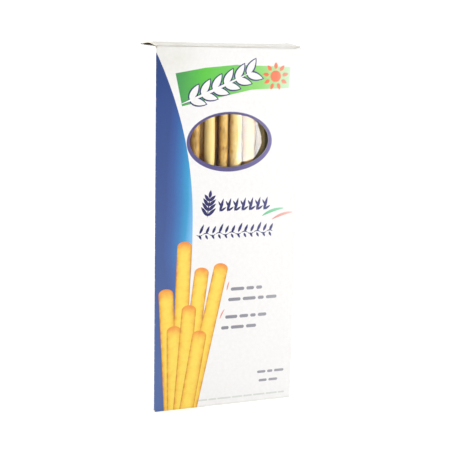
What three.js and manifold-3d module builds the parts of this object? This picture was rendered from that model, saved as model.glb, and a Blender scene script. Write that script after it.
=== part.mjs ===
// A shut tuck-end carton of breadsticks with an oval window, in millimetres, +Z up.
// The origin is the middle of the carton's footprint, and the panel with the window faces -Y.
// Three kinds of piece: the folded carton, the clear pane glued behind its window, and the sticks.
import * as THREE from 'three';
import { mergeVertices } from 'three/addons/utils/BufferGeometryUtils.js';
import Module from 'manifold-3d';

// Carton: outside width along X, depth along Y, and height up to the front panel's top edge.
const WIDTH = 92;
const DEPTH = 38;
const HEIGHT = 225;
const BOARD = 0.5;
const FOLD_RADIUS = 0.8; // outside of a crease
const CLEARANCE = 0.3; // between two faces that would touch
const TUCK_LENGTH = 15;
const DUST_FLAP_LENGTH = 27;
const LID_SLIT = 0.9; // between a dust flap and the lid over it, at the lid's ends
const LID_RISE = 1.2; // how far the shut lid bows up at its middle
const FOLD_STEPS = 4; // straight pieces round a crease
const BOW_STEPS = 3; // straight pieces along a quarter of the lid's bow

// Window, measured from the middle of the front panel and from the base.
const WINDOW_X = 0.5;
const WINDOW_Z = 168.8;
const WINDOW_HALF_WIDTH = 25.2;
const WINDOW_HALF_HEIGHT = 16;
const WINDOW_STEPS = 56;
const PANE_THICKNESS = 0.25;
const PANE_MARGIN = 5; // how far the pane runs past the window all round
const PANE_CORNER = 3;

// Sticks stand in staggered rows, one behind the other, each in a lane of its own.
const ROWS = 4;
const STICKS_IN_ROW = 10;
const STICK_LENGTH = 203;
const LENGTH_SPREAD = 3.5;
const STICK_RADIUS = 3.5;
const RADIUS_SPREAD = 0.38;
const LANE_PITCH = 8.45; // between neighbours in a row
const ROW_PITCH = 8.3; // between rows
const FIRST_LANE_X = -36.2; // the front row's first stick
const LANE_HALF = 4.05; // no stick reaches further than this from its lane's middle
const LUMP = 0.035; // unevenness of a stick's surface, as a share of its radius
const END_ROUNDING = 2.2; // how far from its end a stick reaches full thickness
const STICK_SEED = 3128;
const STICK_SIDES = 8;
const STICK_RINGS = 9; // between the rounded ends

const wasm = await Module();
wasm.setup();

// Turns a closed geometry into a solid that can be joined and cut.
function solidOf(geometry) {
  const bare = geometry.clone();
  bare.deleteAttribute('normal');
  bare.deleteAttribute('uv');
  const merged = mergeVertices(bare, 1e-4);
  const mesh = new wasm.Mesh({
    numProp: 3,
    vertProperties: Float32Array.from(merged.attributes.position.array),
    triVerts: Uint32Array.from(merged.index.array),
  });
  return new wasm.Manifold(mesh);
}

function geometryOf(solid) {
  const mesh = solid.getMesh();
  const geometry = new THREE.BufferGeometry();
  geometry.setAttribute('position', new THREE.BufferAttribute(mesh.vertProperties, 3));
  geometry.setIndex(new THREE.BufferAttribute(mesh.triVerts, 1));
  geometry.computeVertexNormals();
  return geometry;
}

function namedMesh(name, geometry, material) {
  const mesh = new THREE.Mesh(geometry, material);
  mesh.name = name;
  return mesh;
}

// Follows the middle of a board from crease to crease. A move is either { run } or
// { turn, radius, steps }, and a turn is an angle, positive to the left.
// Gives the places passed and the heading at each.
function walkBoard(start, heading, moves) {
  const places = [{ at: start.clone(), heading }];
  let at = start.clone();
  let angle = heading;
  for (const move of moves) {
    if (move.run !== undefined) {
      at = new THREE.Vector2(move.run, 0).rotateAround(new THREE.Vector2(), angle).add(at);
      places.push({ at: at.clone(), heading: angle });
      continue;
    }
    const side = Math.sign(move.turn);
    const toCentre = new THREE.Vector2(0, side * move.radius);
    const centre = toCentre.rotateAround(new THREE.Vector2(), angle).add(at);
    for (let step = 0; step < move.steps; step++) {
      at = at.clone().rotateAround(centre, move.turn / move.steps);
      angle += move.turn / move.steps;
      places.push({ at: at.clone(), heading: angle });
    }
  }
  return places;
}

// The outline of a board of the carton's thickness along the places that a walk passed.
function boardShape(places) {
  const besides = (place, distance) =>
    new THREE.Vector2(0, distance).rotateAround(new THREE.Vector2(), place.heading).add(place.at);
  const left = places.map((place) => besides(place, BOARD / 2));
  const right = places.map((place) => besides(place, -BOARD / 2));
  return new THREE.Shape([...left, ...right.reverse()]);
}

// A flat outline given thickness along +Z.
function plate(outline, depth) {
  return new THREE.ExtrudeGeometry(outline, { depth, bevelEnabled: false });
}

// A board folded in the Y-Z plane, running from -halfWidth to halfWidth along X.
function boardAcrossX(places, halfWidth) {
  const geometry = plate(boardShape(places), 2 * halfWidth);
  const turn = new THREE.Matrix4().makeBasis(
    new THREE.Vector3(0, 1, 0),
    new THREE.Vector3(0, 0, 1),
    new THREE.Vector3(1, 0, 0),
  );
  return geometry.applyMatrix4(turn).translate(-halfWidth, 0, 0);
}

// A board folded in the X-Z plane, running from one place on Y to another.
function boardAcrossY(places, fromY, toY) {
  return plate(boardShape(places), toY - fromY).rotateX(Math.PI / 2).translate(0, toY, 0);
}

function roundedRectangle(halfWidth, halfDepth, radius, steps) {
  const shape = new THREE.Shape();
  const corners = [
    [1, 1, 0],
    [-1, 1, 1],
    [-1, -1, 2],
    [1, -1, 3],
  ];
  for (const [sideX, sideY, quarter] of corners) {
    const x = sideX * (halfWidth - radius);
    const y = sideY * (halfDepth - radius);
    shape.absarc(x, y, radius, (quarter * Math.PI) / 2, ((quarter + 1) * Math.PI) / 2, false);
  }
  return new THREE.Shape(shape.getPoints(steps / 2));
}

const creaseRadius = FOLD_RADIUS - BOARD / 2; // at the middle of the board
const panelMiddleY = DEPTH / 2 - BOARD / 2;
const tuckMiddleY = panelMiddleY - BOARD - CLEARANCE; // a tuck flap slides in behind a panel
const flapHalfWidth = WIDTH / 2 - FOLD_RADIUS;
const sideBottom = BOARD + CLEARANCE; // the bottom dust flaps lie on the bottom panel
const sideTop = HEIGHT - LID_SLIT;

// The four walls, folded round the upright creases.
function walls() {
  const outline = roundedRectangle(WIDTH / 2, DEPTH / 2, FOLD_RADIUS, FOLD_STEPS);
  outline.holes.push(
    roundedRectangle(WIDTH / 2 - BOARD, DEPTH / 2 - BOARD, FOLD_RADIUS - BOARD, FOLD_STEPS),
  );
  const bottom = sideBottom + FOLD_RADIUS;
  return plate(outline, sideTop - FOLD_RADIUS - bottom).translate(0, 0, bottom);
}

// The front panel's full height, the bottom panel folded from its lower edge, and the flap tucked
// up behind the back panel.
function frontAndBottom() {
  const crease = { turn: Math.PI / 2, radius: creaseRadius, steps: FOLD_STEPS };
  const places = walkBoard(new THREE.Vector2(-panelMiddleY, HEIGHT), -Math.PI / 2, [
    { run: HEIGHT - BOARD / 2 - creaseRadius },
    crease,
    { run: panelMiddleY + tuckMiddleY - 2 * creaseRadius },
    crease,
    { run: TUCK_LENGTH },
  ]);
  return boardAcrossX(places, flapHalfWidth);
}

// The back panel, the lid folded from its upper edge, and the flap tucked down behind the front.
// The shut lid bows up: it bends upwards, twice as far down and upwards again, and ends level.
function backAndLid() {
  const crease = { turn: Math.PI / 2, radius: creaseRadius, steps: FOLD_STEPS };
  const lidLength = panelMiddleY + tuckMiddleY - 2 * creaseRadius;
  const slope = 2 * Math.atan((2 * LID_RISE) / lidLength);
  const bowRadius = lidLength / (4 * Math.sin(slope));
  const places = walkBoard(new THREE.Vector2(panelMiddleY, 0), Math.PI / 2, [
    { run: HEIGHT + BOARD / 2 - creaseRadius },
    crease,
    { turn: -slope, radius: bowRadius, steps: BOW_STEPS },
    { turn: 2 * slope, radius: bowRadius, steps: 2 * BOW_STEPS },
    { turn: -slope, radius: bowRadius, steps: BOW_STEPS },
    crease,
    { run: TUCK_LENGTH },
  ]);
  return boardAcrossX(places, flapHalfWidth);
}

// A dust flap folded in from a side wall: side is -1 or 1, and end is 1 at the top and -1 at the bottom.
// It stays clear of the tuck flap, which is behind the front at the top and behind the back below.
function dustFlap(side, end) {
  const panelMiddleX = side * (WIDTH / 2 - BOARD / 2);
  const outer = end > 0 ? sideTop : sideBottom;
  const overlap = 2 * FOLD_RADIUS;
  const start = new THREE.Vector2(panelMiddleX, outer - end * overlap);
  const places = walkBoard(start, (end * Math.PI) / 2, [
    { run: overlap - BOARD / 2 - creaseRadius },
    { turn: (end * side * Math.PI) / 2, radius: creaseRadius, steps: FOLD_STEPS },
    { run: DUST_FLAP_LENGTH },
  ]);
  const wallSide = DEPTH / 2 - FOLD_RADIUS;
  const tuckSide = tuckMiddleY - BOARD / 2 - CLEARANCE;
  return end > 0 ? boardAcrossY(places, -tuckSide, wallSide) : boardAcrossY(places, -wallSide, tuckSide);
}

// The oval that is cut through the front panel.
function windowCutter() {
  const oval = new THREE.Shape();
  oval.absellipse(0, 0, WINDOW_HALF_WIDTH, WINDOW_HALF_HEIGHT, 0, 2 * Math.PI, false, 0);
  const outline = new THREE.Shape(oval.getPoints(WINDOW_STEPS / 2).slice(0, -1));
  const geometry = plate(outline, 2 * BOARD).rotateX(Math.PI / 2);
  return geometry.translate(WINDOW_X, BOARD - panelMiddleY, WINDOW_Z);
}

function makeCarton() {
  let board = solidOf(walls());
  board = board.add(solidOf(frontAndBottom()));
  board = board.add(solidOf(backAndLid()));
  for (const side of [-1, 1]) {
    for (const end of [-1, 1]) board = board.add(solidOf(dustFlap(side, end)));
  }
  board = board.subtract(solidOf(windowCutter()));
  const material = new THREE.MeshStandardMaterial({ color: 0xf3f2ee, roughness: 0.45, metalness: 0 });
  return namedMesh('carton', geometryOf(board), material);
}

function makePane() {
  const outline = roundedRectangle(
    WINDOW_HALF_WIDTH + PANE_MARGIN,
    WINDOW_HALF_HEIGHT + PANE_MARGIN,
    PANE_CORNER,
    FOLD_STEPS,
  );
  const backY = BOARD + CLEARANCE + PANE_THICKNESS - DEPTH / 2;
  const geometry = plate(outline, PANE_THICKNESS).rotateX(Math.PI / 2);
  geometry.translate(WINDOW_X, backY, WINDOW_Z);
  const material = new THREE.MeshStandardMaterial({
    color: 0xf6f8f8,
    roughness: 0.08,
    metalness: 0,
    transparent: true,
    opacity: 0.2,
  });
  return namedMesh('window_film', geometry, material);
}

// A value from -1 to 1 that is the same each time for the same stick and use.
function drawn(stick, use) {
  return 2 * THREE.MathUtils.seededRandom(1000 * STICK_SEED + 20 * stick + use) - 1;
}

// What the bottom of a stick stands on: a dust flap near the sides, the bottom panel between them.
function restHeight(x) {
  const flapEnd = WIDTH / 2 - FOLD_RADIUS - DUST_FLAP_LENGTH;
  const support = Math.abs(x) > flapEnd - LANE_HALF ? sideBottom + BOARD : BOARD;
  return support + CLEARANCE;
}

// One stick: a rod with rounded ends, turned on its axis, then made uneven and slightly bent.
function makeStick(index, laneX, laneY) {
  const radius = STICK_RADIUS + RADIUS_SPREAD * drawn(index, 1);
  const length = STICK_LENGTH + LENGTH_SPREAD * drawn(index, 2);
  const profile = [new THREE.Vector2(0, 0), new THREE.Vector2(0.62 * radius, 0.1)];
  for (let ring = 0; ring < STICK_RINGS; ring++) {
    const share = ring / (STICK_RINGS - 1);
    profile.push(new THREE.Vector2(radius, END_ROUNDING + share * (length - 2 * END_ROUNDING)));
  }
  profile.push(new THREE.Vector2(0.62 * radius, length - 0.1), new THREE.Vector2(0, length));
  const lathed = new THREE.LatheGeometry(profile, STICK_SIDES).rotateX(Math.PI / 2);
  lathed.deleteAttribute('normal');
  lathed.deleteAttribute('uv');
  const geometry = mergeVertices(lathed, 1e-4);

  const spare = LANE_HALF - radius * (1 + 2 * LUMP);
  const lean = 0.5 * spare * drawn(index, 3);
  const bow = 0.5 * spare * drawn(index, 4);
  const wave = (use) => Math.PI * drawn(index, use);
  const position = geometry.attributes.position;
  for (let i = 0; i < position.count; i++) {
    const x = position.getX(i);
    const y = position.getY(i);
    const up = position.getZ(i) / length;
    const around = Math.atan2(y, x);
    const swell = Math.sin(9 * up + wave(5)) + Math.sin(2 * around + 14 * up + wave(6));
    const grow = 1 + LUMP * swell;
    const bend = bow * Math.sin(Math.PI * up);
    const shiftX = lean * (up - 0.5) + bend * Math.cos(wave(7));
    const shiftY = bend * Math.sin(wave(7));
    position.setX(i, x * grow + shiftX);
    position.setY(i, y * grow + shiftY);
  }
  geometry.computeVertexNormals();
  const tone = new THREE.Color(0xd9a65a).offsetHSL(0.008 * drawn(index, 8), 0, 0.04 * drawn(index, 9));
  const material = new THREE.MeshStandardMaterial({ color: tone, roughness: 0.8, metalness: 0 });
  const mesh = namedMesh(`stick_${String(index + 1).padStart(2, '0')}`, geometry, material);
  mesh.position.set(laneX, laneY, restHeight(laneX));
  return mesh;
}

function makeSticks() {
  const sticks = new THREE.Group();
  const firstY = BOARD + 2 * CLEARANCE + PANE_THICKNESS + LANE_HALF - DEPTH / 2;
  for (let row = 0; row < ROWS; row++) {
    const stagger = row % 2 === 0 ? 0 : -LANE_PITCH / 2;
    for (let place = 0; place < STICKS_IN_ROW; place++) {
      const laneX = FIRST_LANE_X + stagger + place * LANE_PITCH;
      sticks.add(makeStick(row * STICKS_IN_ROW + place, laneX, firstY + row * ROW_PITCH));
    }
  }
  return sticks;
}

const pack = new THREE.Group();
pack.add(makeCarton(), makePane(), makeSticks());

export default pack;
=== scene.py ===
"""A shut tuck-end carton of breadsticks: printed board, a clear pane behind its window, and the sticks.

Sizes are in millimetres, and become metres where a mesh, a light or a material is made. X runs along the
window's panel, Y goes away from it and Z is up, with the origin in the middle of the footprint, as in the
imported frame.
"""
import logging
import math
import random
from dataclasses import dataclass, field
from enum import Enum

import bpy
import numpy as np
from mathutils import Matrix, Vector, noise
from mathutils.geometry import delaunay_2d_cdt


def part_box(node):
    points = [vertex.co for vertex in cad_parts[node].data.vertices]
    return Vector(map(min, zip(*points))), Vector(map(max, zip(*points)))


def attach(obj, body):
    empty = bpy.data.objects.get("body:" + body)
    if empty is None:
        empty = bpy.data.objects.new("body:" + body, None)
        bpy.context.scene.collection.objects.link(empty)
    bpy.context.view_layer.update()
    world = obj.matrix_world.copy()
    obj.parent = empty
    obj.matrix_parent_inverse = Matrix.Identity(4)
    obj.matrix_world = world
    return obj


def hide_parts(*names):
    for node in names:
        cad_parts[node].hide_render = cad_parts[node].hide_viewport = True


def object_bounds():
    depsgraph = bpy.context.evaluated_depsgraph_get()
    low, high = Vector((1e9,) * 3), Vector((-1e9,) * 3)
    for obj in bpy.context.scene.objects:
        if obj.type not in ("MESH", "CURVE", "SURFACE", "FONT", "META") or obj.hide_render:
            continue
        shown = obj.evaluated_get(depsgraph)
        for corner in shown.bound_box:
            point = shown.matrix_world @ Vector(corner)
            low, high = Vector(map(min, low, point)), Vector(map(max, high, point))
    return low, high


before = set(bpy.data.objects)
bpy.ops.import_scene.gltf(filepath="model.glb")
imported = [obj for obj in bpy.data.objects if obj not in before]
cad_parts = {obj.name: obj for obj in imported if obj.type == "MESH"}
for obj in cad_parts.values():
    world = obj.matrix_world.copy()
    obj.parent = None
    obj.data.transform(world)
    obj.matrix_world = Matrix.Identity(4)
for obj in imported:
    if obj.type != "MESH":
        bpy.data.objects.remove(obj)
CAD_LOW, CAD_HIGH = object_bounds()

Point = tuple[float, float]
Place = tuple[float, float, float]
Colour = tuple[float, float, float, float]
Face = tuple[int, ...]
Measure = np.ndarray | float

LOG = logging.getLogger("carton")
MM = 0.001
BODY = "root"
SEED = 4117
PANEL_LEFT = CAD_LOW[0] / MM
WHITE: Colour = (1.0, 1.0, 1.0, 1.0)


def srgb(code: str) -> Colour:
    """Turn a six-digit colour code into linear red, green, blue and alpha.

    Args:
        code: The colour, such as "4f66a8".

    Returns:
        The four linear values.
    """
    shares = [int(code[start:start + 2], 16) / 255 for start in (0, 2, 4)]
    linear = [share / 12.92 if share <= 0.04045 else ((share + 0.055) / 1.055) ** 2.4 for share in shares]
    return (*linear, 1.0)


def smooth(low: float, high: float, value: np.ndarray) -> np.ndarray:
    """Ease from 0 at one value to 1 at another.

    Args:
        low: Where the result is 0.
        high: Where the result is 1.
        value: The values to ease.

    Returns:
        The eased shares.
    """
    share = np.clip((value - low) / (high - low), 0.0, 1.0)
    return share * share * (3.0 - 2.0 * share)


def box_mm(node: str) -> tuple[np.ndarray, np.ndarray]:
    """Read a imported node's box.

    Args:
        node: The node's name.

    Returns:
        Its lowest and highest corner, in millimetres.
    """
    low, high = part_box(node)
    return np.array(low) / MM, np.array(high) / MM


def mesh_piece(name: str, places: np.ndarray, faces: list[Face]) -> bpy.types.Object:
    """Make a smooth mesh object from places in millimetres.

    Args:
        name: The piece's name.
        places: One row for each vertex.
        faces: The vertex numbers of each face, counter-clockwise from outside.

    Returns:
        The new object, linked to the scene.
    """
    mesh = bpy.data.meshes.new(name)
    mesh.from_pydata((places * MM).tolist(), [], faces)
    mesh.polygons.foreach_set("use_smooth", [True] * len(faces))
    piece = bpy.data.objects.new(name, mesh)
    bpy.context.scene.collection.objects.link(piece)
    return piece


def set_values(piece: bpy.types.Object, name: str, domain: str, values: np.ndarray) -> None:
    """Store numbers in a mesh, under a name that a material reads.

    Args:
        piece: The mesh object.
        name: The attribute's name.
        domain: "POINT" for one number a vertex, "CORNER" for one a corner of a face.
        values: The numbers.
    """
    attribute = piece.data.attributes.new(name, "FLOAT", domain)
    attribute.data.foreach_set("value", np.asarray(values, np.float32))


def grid_faces(columns: int, rows: int) -> list[Face]:
    """Join a grid of vertices, numbered row by row, into quads.

    Args:
        columns: Quads along a row.
        rows: Rows of quads.

    Returns:
        The quads.
    """
    row = columns + 1
    starts = [row * j + i for j in range(rows) for i in range(columns)]
    return [(start, start + 1, start + row + 1, start + row) for start in starts]


def far_side(faces: list[Face], count: int) -> tuple[list[Face], list[Face]]:
    """Close a sheet of faces into a thin solid, whose far side's vertices follow the near side's.

    Args:
        faces: The near side's faces.
        count: How many vertices each side has.

    Returns:
        The far side's faces, and those of the cut edges.
    """
    far = [tuple(corner + count for corner in reversed(face)) for face in faces]
    edges = {(face[i], face[(i + 1) % len(face)]) for face in faces for i in range(len(face))}
    rims = [(a, a + count, b + count, b) for a, b in sorted(edges) if (b, a) not in edges]
    return far, rims


# ---------------------------------------------------------------------------------------------------------
# Nodes


class Value:
    """A number that nodes work out, written in sums like a plain one."""

    def __init__(self, bench: "NodeBench", socket: bpy.types.NodeSocket) -> None:
        """Keep the number's socket and the bench that it is on."""
        self.bench = bench
        self.socket = socket

    def __add__(self, other: "Value | float") -> "Value":
        """Add another number."""
        return self.bench.math("ADD", self, other)

    def __sub__(self, other: "Value | float") -> "Value":
        """Take another number off."""
        return self.bench.math("SUBTRACT", self, other)

    def __rsub__(self, other: float) -> "Value":
        """Take this number off a plain one."""
        return self.bench.math("SUBTRACT", other, self)

    def __mul__(self, other: "Value | float") -> "Value":
        """Multiply by another number."""
        return self.bench.math("MULTIPLY", self, other)

    def __truediv__(self, other: "Value | float") -> "Value":
        """Divide by another number."""
        return self.bench.math("DIVIDE", self, other)

    def __pow__(self, power: float) -> "Value":
        """Raise to a power."""
        return self.bench.math("POWER", self, power)

    def or_more(self, other: "Value | float") -> "Value":
        """Give the larger of this and another number."""
        return self.bench.math("MAXIMUM", self, other)

    def fit(self, start: float, end: float, low: float = 0.0, high: float = 1.0) -> "Value":
        """Carry a range of numbers over to another, clamped.

        Args:
            start: The number that becomes low.
            end: The number that becomes high.
            low: The result at start.
            high: The result at end.

        Returns:
            The new number.
        """
        node = self.bench.add("MapRange", {0: self, 1: start, 2: end, 3: low, 4: high})
        return Value(self.bench, node.outputs[0])

    def fit_mm(self, start: float, end: float, low: float = 0.0, high: float = 1.0) -> "Value":
        """Carry a stretch of the object, in millimetres, over to a range, clamped."""
        return self.fit(start * MM, end * MM, low, high)


Source = bpy.types.NodeSocket | Value | Colour | float
Owner = bpy.types.Material | bpy.types.World


class NodeBench:
    """Adds and joins the nodes of one material, or of the surroundings."""

    def __init__(self, owner: Owner, coordinates: str = "Object") -> None:
        """Clear the owner's nodes.

        Args:
            owner: The new material or surroundings.
            coordinates: The coordinates that its nodes read. An object's own are in metres.
        """
        owner.use_nodes = True
        self.owner = owner
        self.tree = owner.node_tree
        self.tree.nodes.clear()
        self.place = self.add("TexCoord", {}).outputs[coordinates]

    def add(self, kind: str, inputs: dict[str | int, Source], **settings: str) -> bpy.types.Node:
        """Add a node and fill its sockets.

        Args:
            kind: The node's type, without "ShaderNode".
            inputs: For each socket's name or number, a value or what feeds it.
            **settings: The node's own properties.

        Returns:
            The new node.
        """
        node = self.tree.nodes.new("ShaderNode" + kind)
        for key, value in settings.items():
            setattr(node, key, value)
        for key, value in inputs.items():
            source = value.socket if isinstance(value, Value) else value
            if isinstance(source, bpy.types.NodeSocket):
                self.tree.links.new(source, node.inputs[key])
            else:
                node.inputs[key].default_value = source
        return node

    def math(self, operation: str, *values: Value | float) -> Value:
        """Work out a number from one or two others."""
        return Value(self, self.add("Math", dict(enumerate(values)), operation=operation).outputs[0])

    def axes(self) -> list[Value]:
        """Give the place's X, Y and Z."""
        return [Value(self, output) for output in self.add("SeparateXYZ", {0: self.place}).outputs]

    def read(self, name: str) -> Value:
        """Give a number that the mesh stores under a name."""
        return Value(self, self.add("Attribute", {}, attribute_name=name).outputs["Fac"])

    def clouds(self, scale: float, detail: float = 2.0) -> Value:
        """Give soft noise with that many features in a metre."""
        inputs = {"Vector": self.place, "Scale": scale, "Detail": detail}
        return Value(self, self.add("TexNoise", inputs).outputs["Fac"])

    def waver(self, scale: float, detail: float, low: float, high: float, spread: float = 0.2) -> Value:
        """Stretch soft noise over a range.

        Args:
            scale: Features in a metre.
            detail: How finely the noise is broken up.
            low: The lowest result.
            high: The highest result.
            spread: How far either side of a half the noise is used.

        Returns:
            The stretched noise.
        """
        return self.clouds(scale, detail).fit(0.5 - spread, 0.5 + spread, low, high)

    def ramp(self, share: Value, stops: list[tuple[float, Colour]]) -> bpy.types.NodeSocket:
        """Turn a share into a colour.

        Args:
            share: The number that runs along the ramp.
            stops: Places along the ramp, each with its linear colour.

        Returns:
            The colour output.
        """
        node = self.add("ValToRGB", {0: share})
        elements = node.color_ramp.elements
        while len(elements) < len(stops):
            elements.new(0.5)
        for element, (position, colour) in zip(elements, stops):
            element.position = position
            element.color = colour
        return node.outputs[0]

    def blend(
        self, share: Value | float, first: Source, second: Source, mode: str = "MIX"
    ) -> bpy.types.NodeSocket:
        """Mix two colours.

        Args:
            share: How much of the second colour is used.
            first: The first colour.
            second: The second colour.
            mode: How they are mixed.

        Returns:
            The colour output.
        """
        node = self.add("Mix", {0: share, 6: first, 7: second}, data_type="RGBA", blend_type=mode)
        return node.outputs[2]

    def bump(self, height: Value, depth: float, strength: float) -> bpy.types.NodeSocket:
        """Give a normal for relief of that depth in millimetres."""
        return self.add("Bump", {"Height": height, "Distance": depth * MM, "Strength": strength}).outputs[0]

    def surface(self, **sockets: Source) -> bpy.types.Material:
        """Close the material with a Principled surface.

        Args:
            **sockets: The shader's sockets, with _ for each space in a name.

        Returns:
            The finished material.
        """
        inputs = {key.replace("_", " "): value for key, value in sockets.items()}
        return self.close(self.add("BsdfPrincipled", inputs))

    def close(self, shader: bpy.types.Node, kind: str = "OutputMaterial") -> Owner:
        """Send a shader to the output and give what the nodes belong to."""
        self.add(kind, {0: shader.outputs[0]})
        return self.owner


# ---------------------------------------------------------------------------------------------------------
# Finishes


class Run(Enum):
    """How an ink's tone runs over its field."""

    EVEN = "even"
    ALONG_PANEL = "along the panel"
    GLOW = "lighter down the blue field's curved edge"
    BAR = "across and along each printed stick"


@dataclass(frozen=True)
class InkTone:
    """The colours of one ink and how they run.

    The colours are spread evenly along the run. A run along the panel goes from start to end, in X.
    """

    colours: tuple[str, ...]
    run: Run = Run.EVEN
    start: float = 0.0
    end: float = 0.0


class Ink(Enum):
    """What covers the outside of the board, in the order of the carton's material slots."""

    WHITE = InkTone(("dedddd",))
    FIELD_BLUE = InkTone(("223e7b", "264d8f", "206aa6", "218fbe", "78b4de"), Run.GLOW)
    BAND_GREEN = InkTone(("3f8a50", "55b53d", "6cba58", "8ac76e", "c2d9bd"), Run.ALONG_PANEL, -34.0, 39.0)
    PETAL_RED = InkTone(("e46c47", "e17a5c", "db9e8f"), Run.ALONG_PANEL, 20.0, 40.0)
    RING_INDIGO = InkTone(("514b7c", "4f4977", "706a98"), Run.ALONG_PANEL, -27.0, 28.0)
    NAVY = InkTone(("232358", "2e2e62", "4f4f7c"), Run.ALONG_PANEL, -22.0, 32.0)
    LEAF_GREEN = InkTone(("60b585", "8fc6a6"), Run.ALONG_PANEL, 22.0, 37.0)
    STROKE_RED = InkTone(("d3857c", "d9b5ae"), Run.ALONG_PANEL, 29.0, 43.0)
    GREY = InkTone(("7c7c87", "97979e"), Run.ALONG_PANEL, -5.0, 40.0)
    PALE_GREY = InkTone(("c4c8c4",))
    CRUST = InkTone(("e4c856", "e3bd4e", "dba843", "b97a32"), Run.BAR)


@dataclass(frozen=True)
class BlueField:
    """The blue field down the front's left side: its curved right edge, and the light along that edge.

    X is from the panel's left edge and Z from the base. The field is widest at its bulge. From there its edge
    draws in to the tip above, and by a share of the bulge to the foot. The light is full a little outside the
    edge, and fades with the distance from it and towards the tip. It rises a little below the bulge and sinks
    to the foot.
    """

    left: float = 0.3
    foot: float = 0.3
    tip: float = 221.3
    bulge: float = 23.5
    bulge_height: float = 118.0
    upper_power: float = 2.15
    lower_power: float = 2.3
    lower_share: float = 0.7
    steps: int = 22
    light_outside: float = 1.8
    light_reach: float = 18.0
    fade_start: float = 134.0
    fade_end: float = 194.0
    fade_power: float = 1.8
    fade_share: float = 0.80
    rise_end: float = 109.0
    rise_share: float = 0.12
    sink_start: float = 100.0
    sink_end: float = 15.0

    def outline(self) -> list[Point]:
        """Give the field's outline, from its lower left corner along the curved edge to its tip."""
        shares = [step / self.steps for step in range(self.steps + 1)]
        upper, lower = self.tip - self.bulge_height, self.bulge_height - self.foot
        curve = [(self.left, self.foot)]
        for share in reversed(shares[1:]):
            width = self.bulge * (1 - self.lower_share * share ** self.lower_power)
            curve.append((self.left + width, self.bulge_height - lower * share))
        for share in shares:
            width = self.bulge * (1 - share ** self.upper_power)
            curve.append((self.left + width, self.bulge_height + upper * share))
        return curve

    def light(self, bench: NodeBench) -> Value:
        """Give the share of light in the ink.

        Args:
            bench: The ink's nodes.

        Returns:
            The share, 0 or less where the ink is plain.
        """
        across, _, height = bench.axes()
        above = height.fit_mm(self.bulge_height, self.tip) ** self.upper_power
        below = height.fit_mm(self.bulge_height, self.foot) ** self.lower_power
        widest = PANEL_LEFT + self.left + self.bulge + self.light_outside
        edge = widest * MM - above * (self.bulge * MM) - below * (self.lower_share * self.bulge * MM)
        near = 1.0 - (edge - across) / (self.light_reach * MM)
        fade = height.fit_mm(self.fade_start, self.fade_end) ** self.fade_power * self.fade_share
        rise = height.fit_mm(self.fade_start, self.rise_end, 0.0, self.rise_share)
        return near - fade - (height.fit_mm(self.sink_start, self.sink_end) - rise)


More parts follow.
